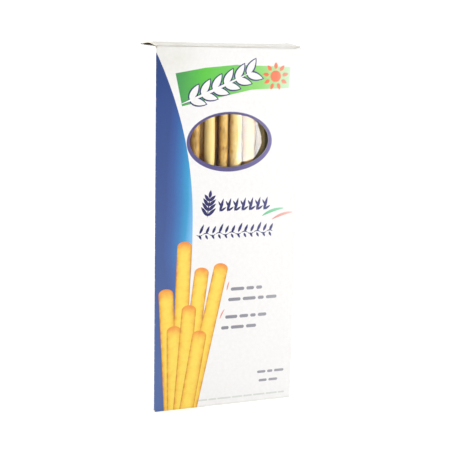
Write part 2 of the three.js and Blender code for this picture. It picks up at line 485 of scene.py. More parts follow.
@dataclass(frozen=True)
class CoatedBoard:
    """White coated board under print: a satin coat with a faint tooth, rubbed through at the creases, and
    painted
    shade: a darker, faintly yellow patch at the upper left of the front and lid, and grey along the base's
    creases and the lid's front fold.

    Noise is given as features in a metre, and a stretch of the board as where a wear or a painted shade
    starts and is full.
    """

    tooth: float = 3200.0
    cockle: float = 55.0
    cockle_share: float = 2.5
    relief: float = 0.02
    relief_strength: float = 0.35
    mottle: float = 420.0
    mottled: tuple[str, str] = ("fafaf9", "ffffff")
    mottle_range: Point = (0.3, 0.7)
    roughness: Point = (0.42, 0.54)
    gloss: float = 0.2
    fibre: str = "d9d6cd"
    fibres: float = 1300.0
    fibre_range: Point = (0.5, 0.75)
    rub: float = 0.5
    rubbed_roughness: float = 0.75
    # A painted reflection: a pale sheen blended into the blue field towards its foot.
    painted_veil: str = "8a9fcc"
    painted_veil_up: Point = (205.0, 20.0)
    painted_veil_share: float = 0.25
    streaks: float = 330.0
    streak_share: float = 0.16
    round_power: float = 2.2
    toasted_tip: str = "dc8640"
    tip_along: Point = (8.0, 0.5)
    tip_power: float = 1.5
    # The colour, spread and place of the painted shade at the upper left of the front and lid.
    upper_left_shade_tint: str = "f0f0e8"
    upper_left_shade_clouds: float = 90.0
    upper_left_shade_across: Point = (-12.0, -36.0)
    upper_left_shade_up: Point = (196.0, 218.0)
    front_face: Point = (-18.4, -18.7)
    lid_face: Point = (224.4, 225.2)
    lid_share: float = 0.8
    # The colour, spread and place of the painted shade along the base's creases and the lid's front fold.
    crease_shade_tint: str = "ebebe4"
    crease_shade_clouds: float = 260.0
    foot_crease: Point = (1.6, 0.4)
    fold_up: Point = (223.6, 223.9)
    fold_front: Point = (-17.0, -18.0)
    fold_edge: Point = (-18.7, -18.5)

    def upper_left_shade(self, bench: NodeBench) -> Value:
        """Paint shade, darker and faintly yellow, in a soft patch at the upper left corner of the front and
        the lid.

        Args:
            bench: The ink's nodes.

        Returns:
            The share of painted shade.
        """
        across, away, up = bench.axes()
        patch = across.fit_mm(*self.upper_left_shade_across) * up.fit_mm(*self.upper_left_shade_up)
        face = away.fit_mm(*self.front_face).or_more(up.fit_mm(*self.lid_face, 0.0, self.lid_share))
        return patch * face * bench.waver(self.upper_left_shade_clouds, detail=3.0, low=0.5, high=1.0)

    def crease_shade(self, bench: NodeBench) -> Value:
        """Paint grey shade along the base's creases and the lid's front fold, where shadow falls.

        Args:
            bench: The ink's nodes.

        Returns:
            The share of painted shade.
        """
        _, away, up = bench.axes()
        fold = up.fit_mm(*self.fold_up) * away.fit_mm(*self.fold_front) * away.fit_mm(*self.fold_edge)
        worn = up.fit_mm(*self.foot_crease).or_more(fold)
        return worn * bench.waver(self.crease_shade_clouds, detail=4.0, low=0.5, high=1.0)

    def tone(self, bench: NodeBench, ink: InkTone) -> Source:
        """Give the ink's colour before it is mottled.

        Args:
            bench: The ink's nodes.
            ink: The colours and how they run.

        Returns:
            The colour, or the output that gives it.
        """
        last = max(len(ink.colours) - 1, 1)
        stops = [(place / last, srgb(colour)) for place, colour in enumerate(ink.colours)]
        if ink.run is Run.EVEN:
            return stops[0][1]
        if ink.run is Run.GLOW:
            # Painted reflection: the blue is paled towards its foot.
            pale = bench.axes()[2].fit_mm(*self.painted_veil_up, 0.0, self.painted_veil_share)
            return bench.blend(pale, bench.ramp(BlueField().light(bench), stops), srgb(self.painted_veil))
        if ink.run is Run.ALONG_PANEL:
            return bench.ramp(bench.axes()[0].fit_mm(ink.start, ink.end), stops)
        streaks = bench.waver(self.streaks, detail=4.0, low=-self.streak_share, high=self.streak_share)
        side = bench.math("ABSOLUTE", bench.read("across")) ** self.round_power + streaks
        tip = (bench.read("along").fit(*self.tip_along) + streaks * 0.5) ** self.tip_power
        return bench.blend(tip, bench.ramp(side, stops), srgb(self.toasted_tip))

    def material(self, name: str, ink: InkTone) -> bpy.types.Material:
        """Make the material of one ink on the coat.

        Args:
            name: The material's name.
            ink: The colours and how they run.

        Returns:
            The material.
        """
        bench = NodeBench(bpy.data.materials.new(name))
        mottle = bench.clouds(self.mottle, detail=4.0)
        shade = bench.ramp(mottle, list(zip(self.mottle_range, map(srgb, self.mottled))))
        colour = bench.blend(1.0, self.tone(bench, ink), shade, "MULTIPLY")
        # Painted shade: a darker, faintly yellow patch at the upper left of the front and lid.
        colour = bench.blend(self.upper_left_shade(bench), colour, srgb(self.upper_left_shade_tint), "MULTIPLY")
        # Painted shade: grey along the base's creases and the lid's front fold.
        colour = bench.blend(self.crease_shade(bench), colour, srgb(self.crease_shade_tint), "MULTIPLY")
        fibres = bench.clouds(self.fibres, detail=6.0)
        rubbed = bench.read("crease") * fibres.fit(*self.fibre_range, 0.0, self.rub)
        colour = bench.blend(rubbed, colour, srgb(self.fibre))
        rough = mottle.fit(*self.mottle_range, *self.roughness).or_more(rubbed * self.rubbed_roughness)
        height = bench.clouds(self.tooth) + bench.clouds(self.cockle) * self.cockle_share
        normal = bench.bump(height, self.relief, self.relief_strength)
        return bench.surface(Base_Color=colour, Roughness=rough, Normal=normal, Specular_IOR_Level=self.gloss)


@dataclass(frozen=True)
class RawBoard:
    """The board's uncoated side: greyish pulp with flecks and short fibres."""

    pulp: str = "d8d3c6"
    fleck: str = "a79f8e"
    fibre: str = "c9c3b4"
    fibres: float = 1500.0
    fibre_range: Point = (0.25, 0.75)
    flecks: float = 700.0
    fleck_range: Point = (0.60, 0.68)
    fleck_share: float = 0.5
    roughness: float = 0.85
    relief: float = 0.06

    def material(self, name: str, squeeze: float = 1.0) -> bpy.types.Material:
        """Make the material.

        Args:
            name: The material's name.
            squeeze: How much finer the fibres are than on the inside face.

        Returns:
            The material.
        """
        bench = NodeBench(bpy.data.materials.new(name))
        fibre = bench.clouds(self.fibres * squeeze, detail=6.0)
        fleck = bench.clouds(self.flecks * squeeze, detail=8.0).fit(*self.fleck_range)
        colour = bench.ramp(fibre, list(zip(self.fibre_range, (srgb(self.fibre), srgb(self.pulp)))))
        colour = bench.blend(fleck * self.fleck_share, colour, srgb(self.fleck))
        normal = bench.bump(fibre, self.relief, strength=0.6)
        return bench.surface(Base_Color=colour, Roughness=self.roughness, Normal=normal)


@dataclass(frozen=True)
class ClearFilm:
    """Thin clear film: it only mirrors, more so at a low angle, and is faintly smeared."""

    mirrored: float = 0.0092
    slant_power: float = 5.0
    roughness: Point = (0.015, 0.06)
    smears: float = 160.0
    tint: Colour = (0.97, 0.98, 0.98, 1.0)

    def material(self, name: str) -> bpy.types.Material:
        """Make the material.

        Args:
            name: The material's name.

        Returns:
            The material.
        """
        bench = NodeBench(bpy.data.materials.new(name))
        slant = Value(bench, bench.add("LayerWeight", {0: 0.5}).outputs["Facing"]) ** self.slant_power
        share = slant.fit(0.0, 1.0, self.mirrored, 1.0)
        clear = bench.add("BsdfTransparent", {0: self.tint})
        smear = bench.waver(self.smears, 3.0, *self.roughness, spread=0.15)
        mirror = bench.add("BsdfGlossy", {"Roughness": smear})
        return bench.close(bench.add("MixShader", {0: share, 1: clear.outputs[0], 2: mirror.outputs[0]}))


@dataclass(frozen=True)
class BakedCrust:
    """Thin oiled crust: pale where it was shielded, brown on blisters and ends, dusted with flour."""

    pale: str = "fadc8e"
    golden: str = "deb058"
    toasted: str = "a87834"
    burnt: str = "5e4c10"
    flour: str = "f2e2bc"
    golden_at: float = 0.38
    toasted_at: float = 0.72
    patches: float = 260.0
    patch_share: float = 0.16
    grain: float = 2600.0
    dusting: float = 330.0
    dust_range: Point = (0.30, 0.42)
    dust_share: float = 0.34
    dusted_bake: Point = (0.4, 0.9)
    dust_on_brown: float = 0.1
    pits: float = 900.0
    pit_share: float = 1.6
    sheen: float = 500.0
    roughness: Point = (0.30, 0.50)
    gloss: float = 0.3
    relief: float = 0.10

    def material(self, name: str) -> bpy.types.Material:
        """Make the material.

        Args:
            name: The material's name.

        Returns:
            The material.
        """
        bench = NodeBench(bpy.data.materials.new(name))
        grain = bench.clouds(self.grain, detail=4.0)
        patches = bench.waver(self.patches, 6.0, -self.patch_share, self.patch_share, spread=0.25)
        # The stored bake carries painted shade as well as browning.
        bake_and_shade_share = bench.read("bake_and_shade") + patches
        stops = [(0.0, srgb(self.pale)), (self.golden_at, srgb(self.golden))]
        stops += [(self.toasted_at, srgb(self.toasted)), (1.0, srgb(self.burnt))]
        dust = (grain * bench.clouds(self.dusting)).fit(*self.dust_range, 0.0, self.dust_share)
        dust = dust * bake_and_shade_share.fit(*self.dusted_bake, 1.0, self.dust_on_brown)
        colour = bench.blend(dust, bench.ramp(bake_and_shade_share, stops), srgb(self.flour))
        rough = bench.waver(self.sheen, 2.0, *self.roughness)
        height = grain + bench.clouds(self.pits, detail=5.0) * self.pit_share
        normal = bench.bump(height, self.relief, strength=0.6)
        return bench.surface(Base_Color=colour, Roughness=rough, Normal=normal, Specular_IOR_Level=self.gloss)


@dataclass(frozen=True)
class LightTable:
    """The matt white sheet that the carton stands on, lit from below, less so in its middle."""

    colour: str = "b8b8b8"
    clouded: str = "b2b2b2"
    clouds: float = 6.0
    cloud_range: Point = (0.3, 0.7)
    roughness: float = 0.9
    tooth: float = 900.0
    relief: float = 0.05
    near_glow: float = 0.68
    far_glow: float = 0.98
    near: float = 250.0
    far: float = 1100.0

    def material(self, name: str) -> bpy.types.Material:
        """Make the material.

        Args:
            name: The material's name.

        Returns:
            The material.
        """
        bench = NodeBench(bpy.data.materials.new(name))
        stops = list(zip(self.cloud_range, (srgb(self.clouded), srgb(self.colour))))
        colour = bench.ramp(bench.clouds(self.clouds, detail=3.0), stops)
        normal = bench.bump(bench.clouds(self.tooth), self.relief, strength=0.3)
        away = bench.add("VectorMath", {0: bench.place}, operation="LENGTH").outputs["Value"]
        glow = Value(bench, away).fit_mm(self.near, self.far, self.near_glow, self.far_glow)
        return bench.surface(
            Base_Color=colour,
            Roughness=self.roughness,
            Normal=normal,
            Emission_Color=WHITE,
            Emission_Strength=glow,
        )


# ---------------------------------------------------------------------------------------------------------
# Studio

WARM = (1.0, 0.95, 0.93)
FAINT_YELLOW = (1.0, 0.99, 0.94)


@dataclass(frozen=True)
class StudioCamera:
    """A camera low on the carton's left, looking slightly down at it."""

    place: Place = (-208.4, -599.6, 244.4)
    yaw: float = 19.62
    pitch: float = 11.68
    roll: float = 1.16
    focal_length: float = 82.1
    sensor: float = 36.0
    nearest: float = 10.0

    def build(self) -> None:
        """Make the camera, turned by its yaw to the right, then its pitch down and its roll."""
        yaw, pitch, roll = (math.radians(angle) for angle in (self.yaw, self.pitch, self.roll))
        ahead = Vector((math.sin(yaw) * math.cos(pitch), math.cos(yaw) * math.cos(pitch), -math.sin(pitch)))
        level = Vector((math.cos(yaw), -math.sin(yaw), 0.0))
        upright = level.cross(ahead)
        right = level * math.cos(roll) + upright * math.sin(roll)
        up = upright * math.cos(roll) - level * math.sin(roll)
        turn = Matrix((right, up, -ahead)).transposed().to_4x4()
        data = bpy.data.cameras.new("studio_camera")
        data.lens = self.focal_length
        data.sensor_width = self.sensor
        data.clip_start = self.nearest * MM
        camera = bpy.data.objects.new("studio_camera", data)
        camera.matrix_world = Matrix.Translation(Vector(self.place) * MM) @ turn
        bpy.context.scene.collection.objects.link(camera)
        bpy.context.scene.camera = camera


@dataclass(frozen=True)
class SoftBox:
    """A rectangular soft light that faces a point, in millimetres and watts."""

    name: str
    place: Place
    aim: Place
    width: float
    height: float
    power: float
    colour: tuple[float, float, float] = (1.0, 1.0, 1.0)

    def build(self) -> None:
        """Make the light with its height kept upright."""
        data = bpy.data.lights.new(self.name, "AREA")
        data.shape = "RECTANGLE"
        data.size = self.width * MM
        data.size_y = self.height * MM
        data.energy = self.power
        data.color = self.colour
        lamp = bpy.data.objects.new(self.name, data)
        lamp.location = Vector(self.place) * MM
        lamp.rotation_euler = (Vector(self.aim) - Vector(self.place)).to_track_quat("-Z", "Y").to_euler()
        bpy.context.scene.collection.objects.link(lamp)


@dataclass(frozen=True)
class Surroundings:
    """White all round: a bright cove at the horizon under a dimmer ceiling, and a dim room before the carton.

    Each stretch is of a direction's rise or depth, and each brightness is what the white is multiplied by.
    """

    cove: float = 1.06
    ceiling: float = 0.30
    room: float = 0.30
    cove_rise: Point = (0.06, 0.45)
    room_depth: Point = (-0.35, 0.15)
    horizon_rise: Point = (0.20, 0.08)

    def build(self) -> None:
        """Light the scene from all round."""
        bench = NodeBench(bpy.data.worlds.new("white_surround"), "Generated")
        _, depth, rise = bench.axes()
        level = rise.fit(*self.cove_rise, self.cove, self.ceiling)
        share = depth.fit(*self.room_depth, self.room, 1.0).or_more(rise.fit(*self.horizon_rise))
        shader = bench.add("Background", {0: WHITE, 1: level * share})
        bpy.context.scene.world = bench.close(shader, "OutputWorld")


@dataclass(frozen=True)
class Studio:
    """Light table, white surroundings, soft boxes and camera."""

    table_half: float = 20000.0
    table_steps: int = 24
    boxes: tuple[SoftBox, ...] = (
        SoftBox("strip_box", (309.5, -770.0, 72.0), (309.5, -19.0, 72.0), 51.0, 95.0, 0.79, WARM),
        SoftBox("right_box", (700.0, -700.0, 150.0), (0.0, -19.0, 60.0), 500.0, 280.0, 5.8),
        SoftBox("left_box", (-900.0, 60.0, 240.0), (0.0, 0.0, 60.0), 700.0, 460.0, 6.0),
        SoftBox("top_box", (0.0, 150.0, 1100.0), (0.0, 0.0, 100.0), 900.0, 900.0, 10.4, FAINT_YELLOW),
    )

    def table(self) -> None:
        """Make the sheet, level under the carton."""
        line = np.linspace(-self.table_half, self.table_half, self.table_steps + 1)
        places = np.array([(x, y, 0.0) for y in line for x in line])
        floor = mesh_piece("light_table", places, grid_faces(self.table_steps, self.table_steps))
        floor.data.materials.append(LightTable().material("light_table"))

    def build(self) -> None:
        """Set up camera, lights, surroundings and table."""
        StudioCamera().build()
        for box in self.boxes:
            box.build()
        Surroundings().build()
        self.table()
        bpy.context.scene.view_settings.view_transform = "Standard"
        LOG.info("studio: %d soft boxes", len(self.boxes))


# ---------------------------------------------------------------------------------------------------------
# Print

# The powers that round the sides of leaves and strokes, and shares of a shape's own size.
LEAF_CURVE = 0.8
STROKE_CURVE = 0.7
STROKE_END = 0.03
BAR_CORNER = 0.3
BAR_GAP = 0.7
SHORTEST_BAR = 0.6
TIP_ROUND = 0.7


@dataclass(frozen=True)
class PrintedArea:
    """One area of ink on a panel: X from the panel's left edge and Z from the base.

    A printed stick also has its middle line, from foot to tip, and half its width.
    """

    ink: Ink
    outline: list[Point]
    middle: tuple[Point, Point] | None = None
    half_width: float = 1.0


def toward(turn: float) -> np.ndarray:
    """Give a step of one millimetre at an angle, in radians from X."""
    return np.array((math.cos(turn), math.sin(turn)))


def leaf(ink: Ink, foot: Point, length: float, width: float, angle: float, steps: int = 7) -> PrintedArea:
    """Draw a pointed leaf that grows from its foot.

    Args:
        ink: The leaf's ink.
        foot: Where it starts.
        length: From foot to point.
        width: Across its widest place.
        angle: Its direction, in degrees from X.
        steps: Points along each side.

    Returns:
        The printed leaf.
    """
    side = [(0.0, 0.0)]
    for step in range(1, steps):
        share = step / steps
        side.append((length * share, width / 2 * math.sin(math.pi * share ** LEAF_CURVE) ** LEAF_CURVE))
    side.append((length, 0.0))
    loop = [(x, -y) for x, y in side] + [(x, y) for x, y in reversed(side[1:-1])]
    cos, sin = toward(math.radians(angle))
    return PrintedArea(ink, [(foot[0] + x * cos - y * sin, foot[1] + x * sin + y * cos) for x, y in loop])


def oval(middle: Point, half: Point, steps: int) -> list[Point]:
    """Give an oval's outline, from its middle, half its width and height, and the points round it."""
    turns = [2 * math.pi * step / steps for step in range(steps)]
    return [(middle[0] + half[0] * math.cos(turn), middle[1] + half[1] * math.sin(turn)) for turn in turns]


def brush_stroke(
    ink: Ink, start: Point, bend: Point, end: Point, width: float, steps: int = 12
) -> PrintedArea:
    """Draw a tapered stroke along a curve.

    Args:
        ink: The stroke's ink.
        start: Where it starts.
        bend: The point that pulls the curve aside.
        end: Where it ends.
        width: Across its widest place.
        steps: Points along each side.

    Returns:
        The printed stroke.
    """
    a, b, c = (np.array(point) for point in (start, bend, end))
    left, right = [], []
    for step in range(steps + 1):
        share = step / steps
        middle = (1 - share) ** 2 * a + 2 * share * (1 - share) * b + share ** 2 * c
        ahead = (1 - share) * (b - a) + share * (c - b)
        aside = np.array((-ahead[1], ahead[0])) / np.linalg.norm(ahead)
        taper = math.sin(math.pi * (STROKE_END + (1 - 2 * STROKE_END) * share)) ** STROKE_CURVE
        left.append(tuple(middle + aside * (width / 2 * taper)))
        right.append(tuple(middle - aside * (width / 2 * taper)))
    return PrintedArea(ink, right + left[::-1])


def bar(ink: Ink, left: float, right: float, middle: float, height: float) -> PrintedArea:
    """Draw a level bar with cut corners.

    Args:
        ink: The bar's ink.
        left: Its left end.
        right: Its right end.
        middle: Where the middle of its height is.
        height: Its height.

    Returns:
        The printed bar.
    """
    cut = BAR_CORNER * height
    low, high = middle - height / 2, middle + height / 2
    points = [(left + cut, low), (right - cut, low), (right, low + cut), (right, high - cut)]
    points += [(right - cut, high), (left + cut, high), (left, high - cut), (left, low + cut)]
    return PrintedArea(ink, points)


def printed_stick(foot: Point, tip: Point, width: float, floor: float = 0.3, steps: int = 10) -> PrintedArea:
    """Draw a stick with a round tip. A foot below the floor is cut off level there.

    Args:
        foot: The lower end of its middle line.
        tip: The upper end.
        width: Across the stick.
        floor: The lowest place that ink may reach.
        steps: Points round the tip.

    Returns:
        The printed stick.
    """
    low, high = np.array(foot), np.array(tip)
    ahead = (high - low) / np.linalg.norm(high - low)
    aside = np.array((ahead[1], -ahead[0]))
    half = width / 2
    feet = [low - aside * half, low + aside * half]
    feet = [point + ahead * max(0.0, (floor - point[1]) / ahead[1]) for point in feet]
    cap = []
    for step in range(steps + 1):
        across, along = toward(math.pi * step / steps)
        cap.append(high - ahead * TIP_ROUND * half + aside * half * across + ahead * TIP_ROUND * half * along)
    return PrintedArea(Ink.CRUST, [tuple(point) for point in [*feet, *cap]], (foot, tip), half)


@dataclass(frozen=True)
class BarLine:
    """A level line that is broken into bars of uneven length: its ends, its height and its bars' number."""

    left: float
    right: float
    middle: float
    count: int

    def areas(self, ink: Ink, height: float, draw: random.Random) -> list[PrintedArea]:
        """Draw the line.

        Args:
            ink: The bars' ink.
            height: The bars' height.
            draw: The source of chance.

        Returns:
            The bars, from left to right.
        """
        weights = [SHORTEST_BAR + draw.random() for _ in range(self.count)]
        gap = BAR_GAP * height
        scale = (self.right - self.left - gap * (self.count - 1)) / sum(weights)
        left, bars = self.left, []
        for weight in weights:
            bars.append(bar(ink, left, left + weight * scale, self.middle, height))
            left += weight * scale + gap
        return bars


@dataclass(frozen=True)
class PlantRow:
    """A level row of small navy plants.

    Each leaf has its foot's place from the plant's foot, its length, its width and its angle in degrees.
    """

    foot: Point
    spacing: float
    count: int
    leaves: tuple[tuple[Point, float, float, float], ...]

    def areas(self) -> list[PrintedArea]:
        """Draw the plants, from left to right."""
        areas = []
        for place in range(self.count):
            left = self.foot[0] + self.spacing * place
            for (across, up), length, width, angle in self.leaves:
                areas.append(leaf(Ink.NAVY, (left + across, self.foot[1] + up), length, width, angle))
        return areas


@dataclass(frozen=True)
class Vine:
    """A wavy navy stem that runs level to the right, with a leaf over and a leaf under each wave."""

    start: Point = (26.2, 111.6)
    reach: float = 50.0
    waves: int = 12
    swing: float = 1.6
    stem: float = 0.7
    over: tuple[Point, float, float] = ((0.0, 0.4), 1.7, 66.0)
    over_lengths: tuple[float, float, float] = (6.6, 5.2, 5.2)
    under: tuple[Point, float, float, float] = ((-0.4, -0.2), 3.4, 1.4, -62.0)

    def areas(self) -> list[PrintedArea]:
        """Draw the stem's waves and their leaves, from left to right."""
        areas = []
        level = self.start[1]
        for place in range(self.waves):
            left = self.start[0] + self.reach * place / self.waves
            middle = left + self.reach / self.waves / 2
            bend = (middle, level + self.swing * (1 if place % 2 else -1))
            right = (left + self.reach / self.waves, level)
            areas.append(brush_stroke(Ink.NAVY, (left, level), bend, right, self.stem, steps=6))
            (across, up), width, angle = self.over
            length = self.over_lengths[place % 3]
            areas.append(leaf(Ink.NAVY, (middle + across, level + up), length, width, angle))
            (across, up), length, width, angle = self.under
            areas.append(leaf(Ink.NAVY, (middle + across, level + up), length, width, angle))
        return areas


@dataclass(frozen=True)
class FrontPrint:
    """The window panel's print: blue field, green band with an ear of wheat, sprigs, bars and sticks.

    An ear's stem has a foot, a bend and a tip, and its grains stand in pairs at an angle to it, in degrees. A
    stroke has its ink, its three points and its width.
    """

    band_outline: tuple[Point, ...] = (
        (16.2, 189.9), (37.5, 194.6), (60.0, 199.4), (84.0, 200.4),
        (84.6, 213.0), (50.0, 214.2), (30.0, 212.4), (12.0, 209.2),
    )
    ear_stem: tuple[Point, Point, Point] = ((15.5, 191.2), (32.0, 197.0), (58.0, 209.2))
    ear_width: float = 1.6
    ear_edge: float = 0.9
    ear_edge_stem: float = 1.2
    ear_pairs: int = 6
    ear_pairs_along: Point = (0.13, 0.84)
    ear_angle: float = 37.0
    ear_grain: Point = (10.4, 4.0)
    sun_middle: Point = (75.2, 207.4)
    sun_radius: float = 3.5
    sun_gap: float = 0.8
    sun_rays: int = 9
    sun_first_ray: float = 0.25
    sun_ray: Point = (4.2, 2.4)
    ring_middle: Point = (46.6, 168.15)
    ring_half: Point = (27.3, 18.15)
    ring_steps: int = 84
    small_ear_root: Point = (33.0, 122.2)
    small_ear_lean: float = 83.0
    small_ear_stem: tuple[float, float, float] = (6.0, 13.0, 0.9)
    small_ear_pairs: tuple[Point, ...] = ((0.8, 7.2), (4.0, 6.8), (7.0, 6.2), (10.0, 5.4))
    small_ear_angle: float = 42.0
    small_ear_tip: Point = (12.0, 5.0)
    small_ear_grain: float = 2.1
    plants: PlantRow = PlantRow((41.0, 125.3), 4.8, 7, (
        ((0.0, 0.0), 8.7, 1.9, 74.0), ((0.5, 0.3), 4.6, 1.4, 34.0), ((0.9, 3.2), 4.0, 1.2, 118.0),
    ))
    row_ends: tuple[tuple[Ink, Point, Point, Point, float], ...] = (
        (Ink.LEAF_GREEN, (68.9, 121.6), (75.0, 125.6), (83.0, 125.9), 1.9),
        (Ink.STROKE_RED, (75.6, 119.1), (82.0, 122.9), (89.2, 123.1), 1.7),
    )
    notes: tuple[BarLine, ...] = (
        BarLine(49.3, 70.2, 75.9, 3), BarLine(47.7, 80.2, 69.2, 4),
        BarLine(46.0, 73.6, 58.0, 4), BarLine(43.4, 66.8, 51.1, 3),
    )
    note_height: float = 2.1
    note_marks: tuple[tuple[Ink, Point, Point, Point, float], ...] = (
        (Ink.STROKE_RED, (46.7, 75.2), (47.0, 78.0), (48.2, 81.0), 0.9),
        (Ink.STROKE_RED, (42.4, 57.2), (43.2, 60.0), (45.4, 63.4), 0.9),
    )
    corner_notes: tuple[BarLine, ...] = (BarLine(68.4, 86.6, 19.7, 3), BarLine(69.6, 82.4, 13.9, 2))
    corner_note_height: float = 1.7
    foot_line: BarLine = BarLine(23.5, 87.5, 4.6, 9)
    foot_line_height: float = 1.1
    fan_pivot: Point = (13.6, -46.0)
    fan_foot: float = 38.0
    fan_step: float = 5.0
    fan_rows: tuple[tuple[float, tuple[float, ...]], ...] = (
        (-3.0, (125.0, 154.0, 138.0, 142.0)), (-0.6, (101.0, 114.0, 98.0)),
    )
    stick_width: float = 9.3

    def band(self) -> list[PrintedArea]:
        """Draw the slanted green band and a white ear of wheat with a navy edge along it."""
        areas = [PrintedArea(Ink.BAND_GREEN, list(self.band_outline))]
        start, end = np.array(self.ear_stem[0]), np.array(self.ear_stem[2])
        slope = math.degrees(math.atan2(end[1] - start[1], end[0] - start[0]))
        first, rest = self.ear_pairs_along
        length, width = self.ear_grain
        for ink, edge, stem in ((Ink.NAVY, self.ear_edge, self.ear_edge_stem), (Ink.WHITE, 0.0, 0.0)):
            areas.append(brush_stroke(ink, *self.ear_stem, self.ear_width + stem))
            for pair in range(self.ear_pairs):
                foot = start + (end - start) * (first + rest * pair / (self.ear_pairs - 1))
                for angle in (slope - self.ear_angle, slope + self.ear_angle):
                    root = tuple(foot - edge * toward(math.radians(angle)))
                    areas.append(leaf(ink, root, length + 2 * edge, width + 2 * edge, angle))
        return areas

    def sun(self) -> list[PrintedArea]:
        """Draw a small sun with short rays at the band's end."""
        middle, radius = self.sun_middle, self.sun_radius
        areas = [PrintedArea(Ink.PETAL_RED, oval(middle, (radius, radius), 2 * self.sun_rays))]
        for ray in range(self.sun_rays):
            turn = 2 * math.pi * (ray + self.sun_first_ray) / self.sun_rays
            foot = tuple(np.array(middle) + (radius + self.sun_gap) * toward(turn))
            areas.append(leaf(Ink.PETAL_RED, foot, *self.sun_ray, math.degrees(turn), steps=5))
        return areas

    def small_ear(self) -> list[PrintedArea]:
        """Draw the navy ear below the window."""
        root, lean, width = np.array(self.small_ear_root), self.small_ear_lean, self.small_ear_grain
        ahead = toward(math.radians(lean))
        bend, tip, stem = self.small_ear_stem
        bend, tip = tuple(root + bend * ahead), tuple(root + tip * ahead)
        areas = [brush_stroke(Ink.NAVY, tuple(root), bend, tip, stem, steps=4)]
        for reach, length in self.small_ear_pairs:
            for angle in (lean - self.small_ear_angle, lean + self.small_ear_angle):
                areas.append(leaf(Ink.NAVY, tuple(root + reach * ahead), length, width, angle))
        reach, length = self.small_ear_tip
        return areas + [leaf(Ink.NAVY, tuple(root + reach * ahead), length, width, lean)]

    def sprigs(self) -> list[PrintedArea]:
        """Draw the ear and the two rows of leaves below the window, with two strokes at their end."""
        ends = [brush_stroke(*stroke) for stroke in self.row_ends]
        return self.small_ear() + self.plants.areas() + Vine().areas() + ends

    def lines(self) -> list[PrintedArea]:
        """Draw the small bars that stand where a pack has its notes."""
        draw = random.Random(SEED)
        areas = []
        for line in self.notes:
            areas += line.areas(Ink.GREY, self.note_height, draw)
        areas += [brush_stroke(*stroke, steps=6) for stroke in self.note_marks]
        for line in self.corner_notes:
            areas += line.areas(Ink.GREY, self.corner_note_height, draw)
        return areas + self.foot_line.areas(Ink.PALE_GREY, self.foot_line_height, draw)

    def sticks(self) -> list[PrintedArea]:
        """Draw a fan of sticks at the lower left, the longer ones behind the shorter ones."""
        pivot = np.array(self.fan_pivot)
        areas = []
        for first, reaches in self.fan_rows:
            for place, reach in enumerate(reaches):
                ahead = toward(math.radians(first + self.fan_step * place))[::-1]
                foot, tip = tuple(pivot + self.fan_foot * ahead), tuple(pivot + reach * ahead)
                areas.append(printed_stick(foot, tip, self.stick_width))
        return areas

    def areas(self) -> list[PrintedArea]:
        """Give all areas, each covering those before it."""
        ground = [PrintedArea(Ink.FIELD_BLUE, BlueField().outline())]
        ring = [PrintedArea(Ink.RING_INDIGO, oval(self.ring_middle, self.ring_half, self.ring_steps))]
        return ground + self.band() + self.sun() + ring + self.sprigs() + self.lines() + self.sticks()


@dataclass(frozen=True)
class BackPrint:
    """The back panel's print: a narrow blue field, rules, plants, two blocks of bars and three sticks.

    A rule has its height and thickness. A block's lines grow shorter by a step, every few lines anew.
    """

    field_edge: float = 91.4
    field_width: float = 15.0
    field_top: float = 218.0
    field_length: float = 214.0
    field_curve: float = 0.8
    field_steps: int = 20
    left: float = 12.0
    right: float = 68.0
    rules: tuple[Point, Point, Point] = ((190.0, 2.0), (112.0, 0.8), (62.0, 0.8))
    plants: PlantRow = PlantRow((15.0, 195.2), 5.6, 9, (
        ((0.0, 0.0), 7.4, 1.9, 72.0), ((0.6, 0.3), 4.4, 1.4, 30.0), ((0.8, 2.8), 3.8, 1.2, 120.0),
    ))
    bars_right: float = 66.0
    block_top: float = 180.0
    block_lines: int = 9
    block_bars: int = 5
    block_spacing: float = 6.2
    block_step: float = 5.0
    block_height: float = 1.6
    table_top: float = 105.0
    table_lines: int = 7
    table_bars: int = 3
    table_spacing: float = 6.0
    table_right: float = 42.0
    table_step: float = 4.0
    table_last: float = 56.0
    table_height: float = 1.5
    stick_feet: tuple[Point, ...] = ((24.0, 14.0), (34.0, 14.0), (44.0, 14.0))
    stick_tips: tuple[Point, ...] = ((31.0, 52.0), (41.0, 56.0), (51.0, 50.0))
    stick_width: float = 8.0

    def blue_field(self) -> PrintedArea:
        """Draw the field along the right edge, widest halfway."""
        curve = []
        for step in range(self.field_steps + 1):
            share = step / self.field_steps
            inward = self.field_width * math.sin(math.pi * share) ** self.field_curve
            curve.append((self.field_edge - inward, self.field_top - self.field_length * share))
        return PrintedArea(Ink.FIELD_BLUE, curve)

    def areas(self) -> list[PrintedArea]:
        """Give all areas, each covering those before it."""
        draw = random.Random(SEED + 1)
        rules = [bar(Ink.RING_INDIGO, self.left, self.right, *rule) for rule in self.rules]
        areas = [self.blue_field(), rules[0]] + self.plants.areas()
        for number in range(self.block_lines):
            right = self.bars_right - self.block_step * (number % 3)
            line = BarLine(self.left, right, self.block_top - self.block_spacing * number, self.block_bars)
            areas += line.areas(Ink.GREY, self.block_height, draw)
        areas.append(rules[1])
        for number in range(self.table_lines):
            right = self.table_right - self.table_step * (number % 2)
            middle = self.table_top - self.table_spacing * number
            for line in (
                BarLine(self.left, right, middle, self.table_bars),
                BarLine(self.table_last, self.bars_right, middle, 1),
            ):
                areas += line.areas(Ink.GREY, self.table_height, draw)
        areas.append(rules[2])
        pairs = zip(self.stick_feet, self.stick_tips)
        return areas + [printed_stick(foot, tip, self.stick_width) for foot, tip in pairs]


# ---------------------------------------------------------------------------------------------------------
# Carton


@dataclass(frozen=True)
class Move:
    """A stretch of a board's middle line: its length, and the whole angle that it turns to the left."""

    length: float
    turn: float = 0.0


